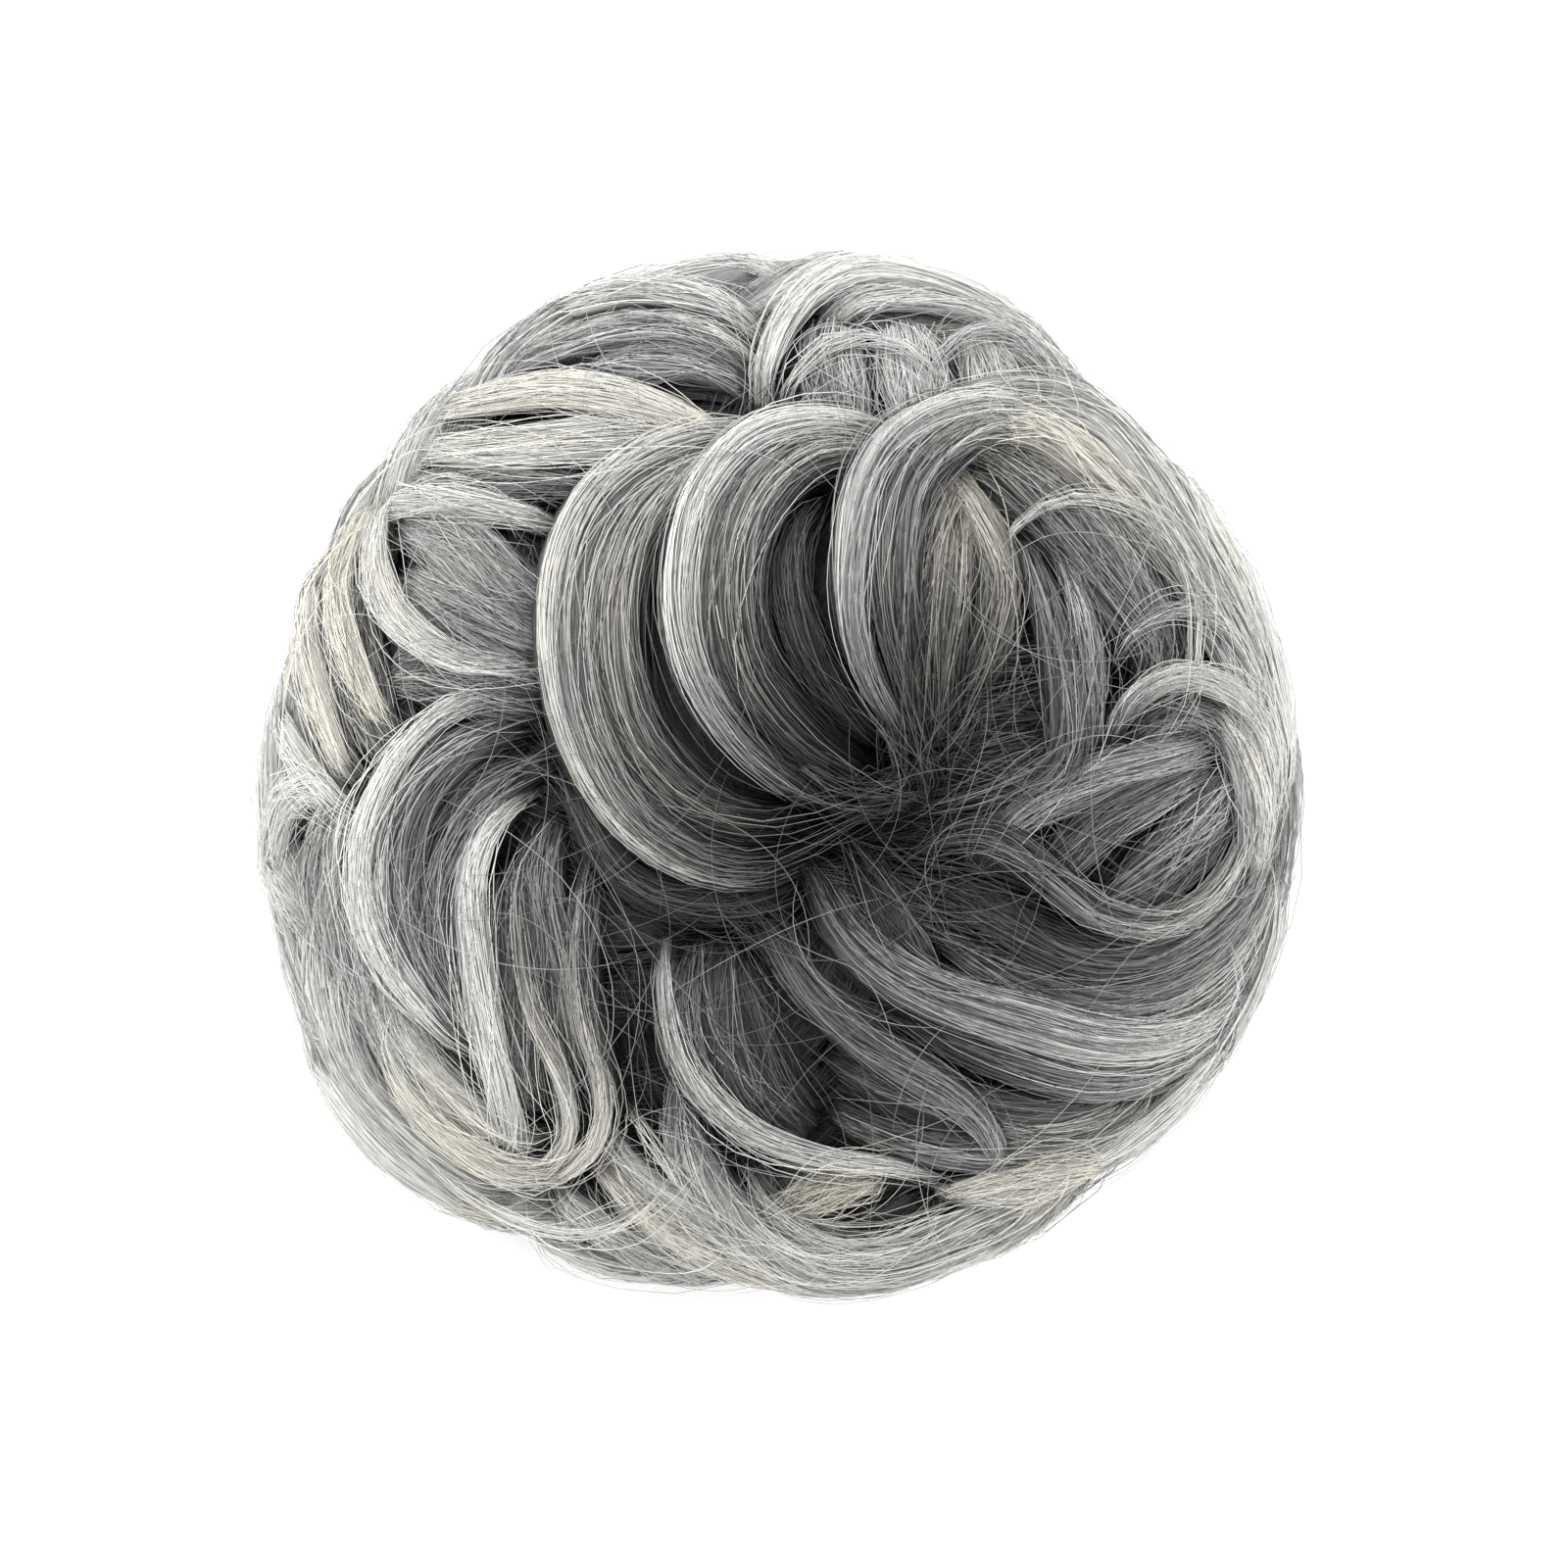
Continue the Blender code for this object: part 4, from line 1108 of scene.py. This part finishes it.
def hollow_mesh():
    bore = BAND_BORE / 2
    socket = WEFT_OUTER + CLEARANCE
    ledge = WEFT_HEIGHT + CLEARANCE
    roof = HOLLOW_HEIGHT - HOLLOW_FILLET
    fillet = [(bore - HOLLOW_FILLET * (1 - math.cos(a)), roof + HOLLOW_FILLET * math.sin(a))
              for a in np.linspace(0, math.pi / 2, 6)]
    profile = [(0, -0.01), (socket, -0.01), (socket, ledge), (bore, ledge), *fillet,
               (0, HOLLOW_HEIGHT)]
    shape = bmesh.new()
    corners = [shape.verts.new((r, 0, z)) for r, z in profile]
    edges = [shape.edges.new(pair) for pair in zip(corners, corners[1:] + corners[:1])]
    bmesh.ops.spin(shape, geom=corners + edges, cent=(0, 0, 0), axis=(0, 0, 1), angle=math.tau,
                   steps=64, use_merge=True)
    bmesh.ops.remove_doubles(shape, verts=shape.verts, dist=1e-6)
    bmesh.ops.recalc_face_normals(shape, faces=shape.faces)
    return from_bmesh(shape, "hollow")


backing = add_piece("uncut_backing", backing_mesh())
hollow = add_piece("hollow", hollow_mesh())
cut = backing.modifiers.new("cut", "BOOLEAN")
cut.object = hollow
graph = bpy.context.evaluated_depsgraph_get()
cut_backing = bpy.data.meshes.new_from_object(backing.evaluated_get(graph))
for helper in (backing, hollow):
    bpy.data.objects.remove(helper)
cut_backing.shade_smooth()
cut_backing.set_sharp_from_angle(angle=math.radians(40))

# The near-black colour is partly the wound hair's own and partly painted shade for the deep gaps between
# the locks.
backing_finish = Finish("wound_dark_hair_and_shade", Roughness=0.55)
backing_streaks = backing_finish.noise(backing_finish.here(), 600.0, 3.0)
backing_finish.paint(Base_Color=backing_finish.ramp(
    backing_streaks, ((0.3, (0.010, 0.010, 0.011)), (0.75, (0.045, 0.046, 0.048)))))
backing_finish.bump(backing_streaks, 0.0004)
keep("wound_backing", cut_backing, backing_finish.material, HAIR_NODE)
print(added[-1])

# %% Dark strands over the backing
UNDER_BUNDLES = 26
UNDER_BUNDLE_WIDTH = 0.011
UNDER_BUNDLE_SINK = 0.0042
UNDER_START = 0.96
UNDER_END = 0.06


def under_runs(draw):
    """Loose bundles that spiral from the rim down into the knot."""
    runs = []
    for i in range(UNDER_BUNDLES):
        start = 360 * i / UNDER_BUNDLES + draw.uniform(-6, 6)
        way = np.linspace(0, 1, 7)
        radius = (UNDER_START - UNDER_END) * (1 - way) + UNDER_END
        azimuth = np.radians(start + draw.uniform(40, 110) * way**0.8)
        plan = np.stack((radius * np.cos(azimuth) + KNOT_SHARE[0] * way,
                         radius * np.sin(azimuth) + KNOT_SHARE[1] * way), axis=-1)
        centre = over_plan(plan, rise_of(-UNDER_BUNDLE_SINK, tuck=0.0))
        # Their dark tones are partly the wound hair's own colour and partly painted shade in the gaps.
        runs.append(run_of(centre, UNDER_BUNDLE_WIDTH, 0, draw.uniform(0.05, 0.27), 0.1))
    return runs


under_draw = np.random.default_rng(5)
dark = [strand_batch(run, under_draw, per_mm=3.0, wander=0.0009, segment=0.011)
        for run in under_runs(under_draw)]
keep("dark_under_hair_and_shade", tube_mesh("dark_under_hair_and_shade", dark), strand_material, HAIR_NODE)
print(added[-1])

# %% [markdown]
# ## How high the hair stands
#
# Loose strands lie on top of everything else, so they have to know how high that is. A map of small
# square cells keeps the highest strand point in each, and a loose strand reads it along its way.

# %% Height map
CELL = 0.0015
MAP_HALF = 0.090
CELLS = int(round(2 * MAP_HALF / CELL))
SMOOTHING_ROUNDS = 3


def cells_of(plan):
    places = ((plan + MAP_HALF) / CELL).astype(int)
    return np.clip(places, 0, CELLS - 1)


def highest_nearby(heights):
    """Every cell takes the highest value of itself and its neighbours."""
    wide = np.pad(heights, 1, mode="edge")
    shifts = [wide[i:i + CELLS, j:j + CELLS] for i in range(3) for j in range(3)]
    return np.max(shifts, axis=0)


cloud = np.concatenate(laid)
column = cells_of(cloud[:, :2])
heights = np.zeros((CELLS, CELLS))
np.maximum.at(heights, (column[:, 0], column[:, 1]), cloud[:, 2])
heights = highest_nearby(heights)
print("height map:", CELLS, "cells a side, highest", round(heights.max() * 1000, 1), "mm")


def resting(plan, hover, stations):
    """Lays plan curves on the hair. Each is drawn smooth, so that it bridges the gaps."""
    column = cells_of(plan)
    height = heights[column[..., 0], column[..., 1]]
    for _ in range(SMOOTHING_ROUNDS):
        wide = np.pad(height, ((0, 0), (1, 1)), mode="edge")
        height = np.maximum(height, (wide[:, :-2] + wide[:, 1:-1] + wide[:, 2:]) / 3)
    for _ in range(SMOOTHING_ROUNDS):
        wide = np.pad(height, ((0, 0), (1, 1)), mode="edge")
        height = (wide[:, :-2] + 2 * wide[:, 1:-1] + wide[:, 2:]) / 4
    arch = np.sin(np.pi * np.linspace(0, 1, stations))
    height = height + hover * arch - (1 - arch) ** 4 * LOOSE_TUCK
    return np.concatenate((plan, height[..., None]), axis=-1)


# %% [markdown]
# ## Loose strands and flyaways
#
# Curled fibre never lies quite flat. From every lock some strands bow out to the side and come back, and
# others cross the locks in free arcs, most of them near the dark gaps where the hair has parted.

# %% Loose strands
LOOSE_WIDTH = 0.00011
LOOSE_STATIONS = 13
LOOSE_TUCK = 0.0030
LOOSE_PER_LOCK = 12
LOOSE_BOW = 0.0028
LOOSE_SHADE = 0.5


def loose_batch(points, draw, tone, warmth):
    """One batch of separate strands from arrays of their points."""
    along = unit(np.gradient(points, axis=1))
    across = unit(np.cross(along, (0.0, 0.0, 1.0)))
    away = np.cross(across, along)
    count, stations = points.shape[:2]
    taper = 0.35 + 0.65 * np.sin(np.pi * np.linspace(0, 1, stations)) ** 0.4
    radius = LOOSE_WIDTH / 2 * draw.uniform(0.75, 1.25, count)[:, None] * taper
    # Painted light and shade of the place, at half strength.
    light = tone[:, None] + shade_of_place(points) * LOOSE_SHADE
    colour = np.stack(np.broadcast_arrays(light, warmth[:, None], 1.0), axis=-1)
    return points, across, away, radius, np.clip(colour, 0, 1)


def strays_of(run, draw):
    """Strands that set out with a lock, bow to one side of it and come back."""
    count = LOOSE_PER_LOCK
    start = draw.uniform(0.0, 0.45, count)
    end = np.minimum(start + draw.uniform(0.35, 0.85, count), 1.0)
    share = start[:, None] + (end - start)[:, None] * np.linspace(0, 1, LOOSE_STATIONS)
    way = np.linspace(0, 1, LOOSE_STATIONS)
    edge = draw.uniform(-1.1, 1.1, count)[:, None] * along_run(run.wide, share)
    bow = draw.normal(0, LOOSE_BOW, count)[:, None] * np.sin(np.pi * way)
    slide = draw.normal(0, LOOSE_BOW / 2, count)[:, None] * way
    aside = (edge + bow + slide)[..., None]
    points = along_run(run.centre, share) + along_run(run.across, share) * aside
    plan = points[..., :2]
    reach = np.hypot(plan[..., 0], plan[..., 1])[..., None]
    plan = plan * np.minimum(1, HALF_WIDTH / reach)
    hover = draw.uniform(0.0001, 0.0016, count)[:, None]
    tone = run.tone + draw.normal(-0.03, 0.12, count)
    warmth = run.warmth + draw.normal(0, 0.2, count)
    return loose_batch(resting(plan, hover, LOOSE_STATIONS), draw, tone, warmth)


stray_draw = np.random.default_rng(9)
strays = [strays_of(run, stray_draw) for run in top_runs]
keep("stray_strands", tube_mesh("stray_strands", strays), strand_material, HAIR_NODE)
print(added[-1])

# %% Flyaways
FLYAWAYS = 130
FLYAWAY_STATIONS = 18
NEAR_A_GAP = 0.7
GAP_SPREAD = 0.13
FLYAWAY_LENGTHS = (0.018, 0.062)
FLYAWAY_BENDS = (0.3, 2.6)
FARTHEST_OUT = 0.985
GAPS = ((-0.286, -0.385), (0.26, -0.05), (-0.45, -0.10), (0.56, -0.18), (0.48, 0.16), (0.20, -0.12),
        (-0.22, -0.50), (-0.62, 0.38), (-0.30, -0.85), (0.15, -0.80), (-0.20, 0.74), (0.62, 0.40))


def flyaways(draw):
    """Free arcs. Each is part of a circle or of a loose spiral, drawn in plan. GAPS are shares of the
    half-width."""
    spots = np.array(GAPS)[draw.integers(0, len(GAPS), FLYAWAYS)]
    spots = spots + draw.normal(0, GAP_SPREAD, (FLYAWAYS, 2))
    radius = 0.93 * np.sqrt(draw.uniform(0, 1, FLYAWAYS))
    azimuth = draw.uniform(0, math.tau, FLYAWAYS)
    anywhere = np.stack((radius * np.cos(azimuth), radius * np.sin(azimuth)), axis=-1)
    near = draw.uniform(0, 1, FLYAWAYS) < NEAR_A_GAP
    middle = np.where(near[:, None], spots, anywhere) * HALF_WIDTH
    way = np.linspace(-0.5, 0.5, FLYAWAY_STATIONS)
    length = draw.uniform(*FLYAWAY_LENGTHS, FLYAWAYS)[:, None]
    bend = draw.choice((-1, 1), FLYAWAYS) * draw.uniform(*FLYAWAY_BENDS, FLYAWAYS)
    heading = draw.uniform(0, math.tau, FLYAWAYS)[:, None] + bend[:, None] * way
    heading = heading + draw.normal(0, 0.5, FLYAWAYS)[:, None] * way**2
    step = length / (FLYAWAY_STATIONS - 1)
    plan = np.stack((np.cumsum(np.cos(heading) * step, axis=1),
                     np.cumsum(np.sin(heading) * step, axis=1)), axis=-1)
    plan = plan - plan.mean(axis=1, keepdims=True) + middle[:, None]
    reach = np.hypot(plan[..., 0], plan[..., 1]).max(axis=1)[:, None, None]
    plan = plan * np.minimum(1, FARTHEST_OUT * HALF_WIDTH / reach)
    hover = draw.uniform(0.0003, 0.0030, FLYAWAYS)[:, None]
    tone = draw.choice((0.54, 0.64, 0.76), FLYAWAYS, p=(0.40, 0.40, 0.20))
    return loose_batch(resting(plan, hover, FLYAWAY_STATIONS), draw, tone,
                       draw.uniform(0, 0.5, FLYAWAYS))


keep("flyaways", tube_mesh("flyaways", [flyaways(np.random.default_rng(3))]), strand_material,
     HAIR_NODE)
print(added[-1])

# %% [markdown]
# ## The band and the sewn ring
#
# Both keep their solids. The band is elastic under a knitted cover, so it gets fine ribs round the
# cord. The ring is hair roots bound with thread, so it gets close stitches round it.

# %% Finishes of the band and the ring
def round_the_axis(finish):
    """The angle round the Z axis at each point, in radians."""
    parts = finish.node("ShaderNodeSeparateXYZ", inputs={"Vector": finish.here()}).socket.node
    x, y = Value(finish, parts.outputs["X"]), Value(finish, parts.outputs["Y"])
    return y.maths("ARCTAN2", y, x)


def ribbed(name, ribs, dark, pale, roughness, depth):
    finish = Finish(name, Roughness=roughness)
    ribs_height = (round_the_axis(finish) * ribs).sine() * 0.5 + 0.5
    fuzz = finish.noise(finish.here(), 1400.0, 2.0)
    height = ribs_height * 0.8 + fuzz * 0.2
    finish.paint(Base_Color=finish.ramp(height, ((0.15, dark), (0.85, pale))))
    finish.bump(height, depth)
    return finish.material


def repaint(node, material):
    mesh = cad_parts[node].data
    mesh.materials.clear()
    mesh.materials.append(material)


repaint("elastic_band", ribbed("knitted_cover", 210, (0.010, 0.010, 0.012), (0.055, 0.055, 0.060),
                               0.85, 0.0002))
repaint("weft_ring", ribbed("bound_roots", 150, (0.035, 0.035, 0.037), (0.21, 0.21, 0.205),
                            0.7, 0.0003))

# %% [markdown]
# ## Measure and finish
# The triangles that the dressing added are counted, and the largest piece is named.
# The box of the dressed piece is kept beside the box of the solids, so that the two can be compared.

# %% Sizes and finish
total = sum(count for _, count in added)
print("triangles added:", total, "largest piece:", max(added, key=lambda row: row[1]))
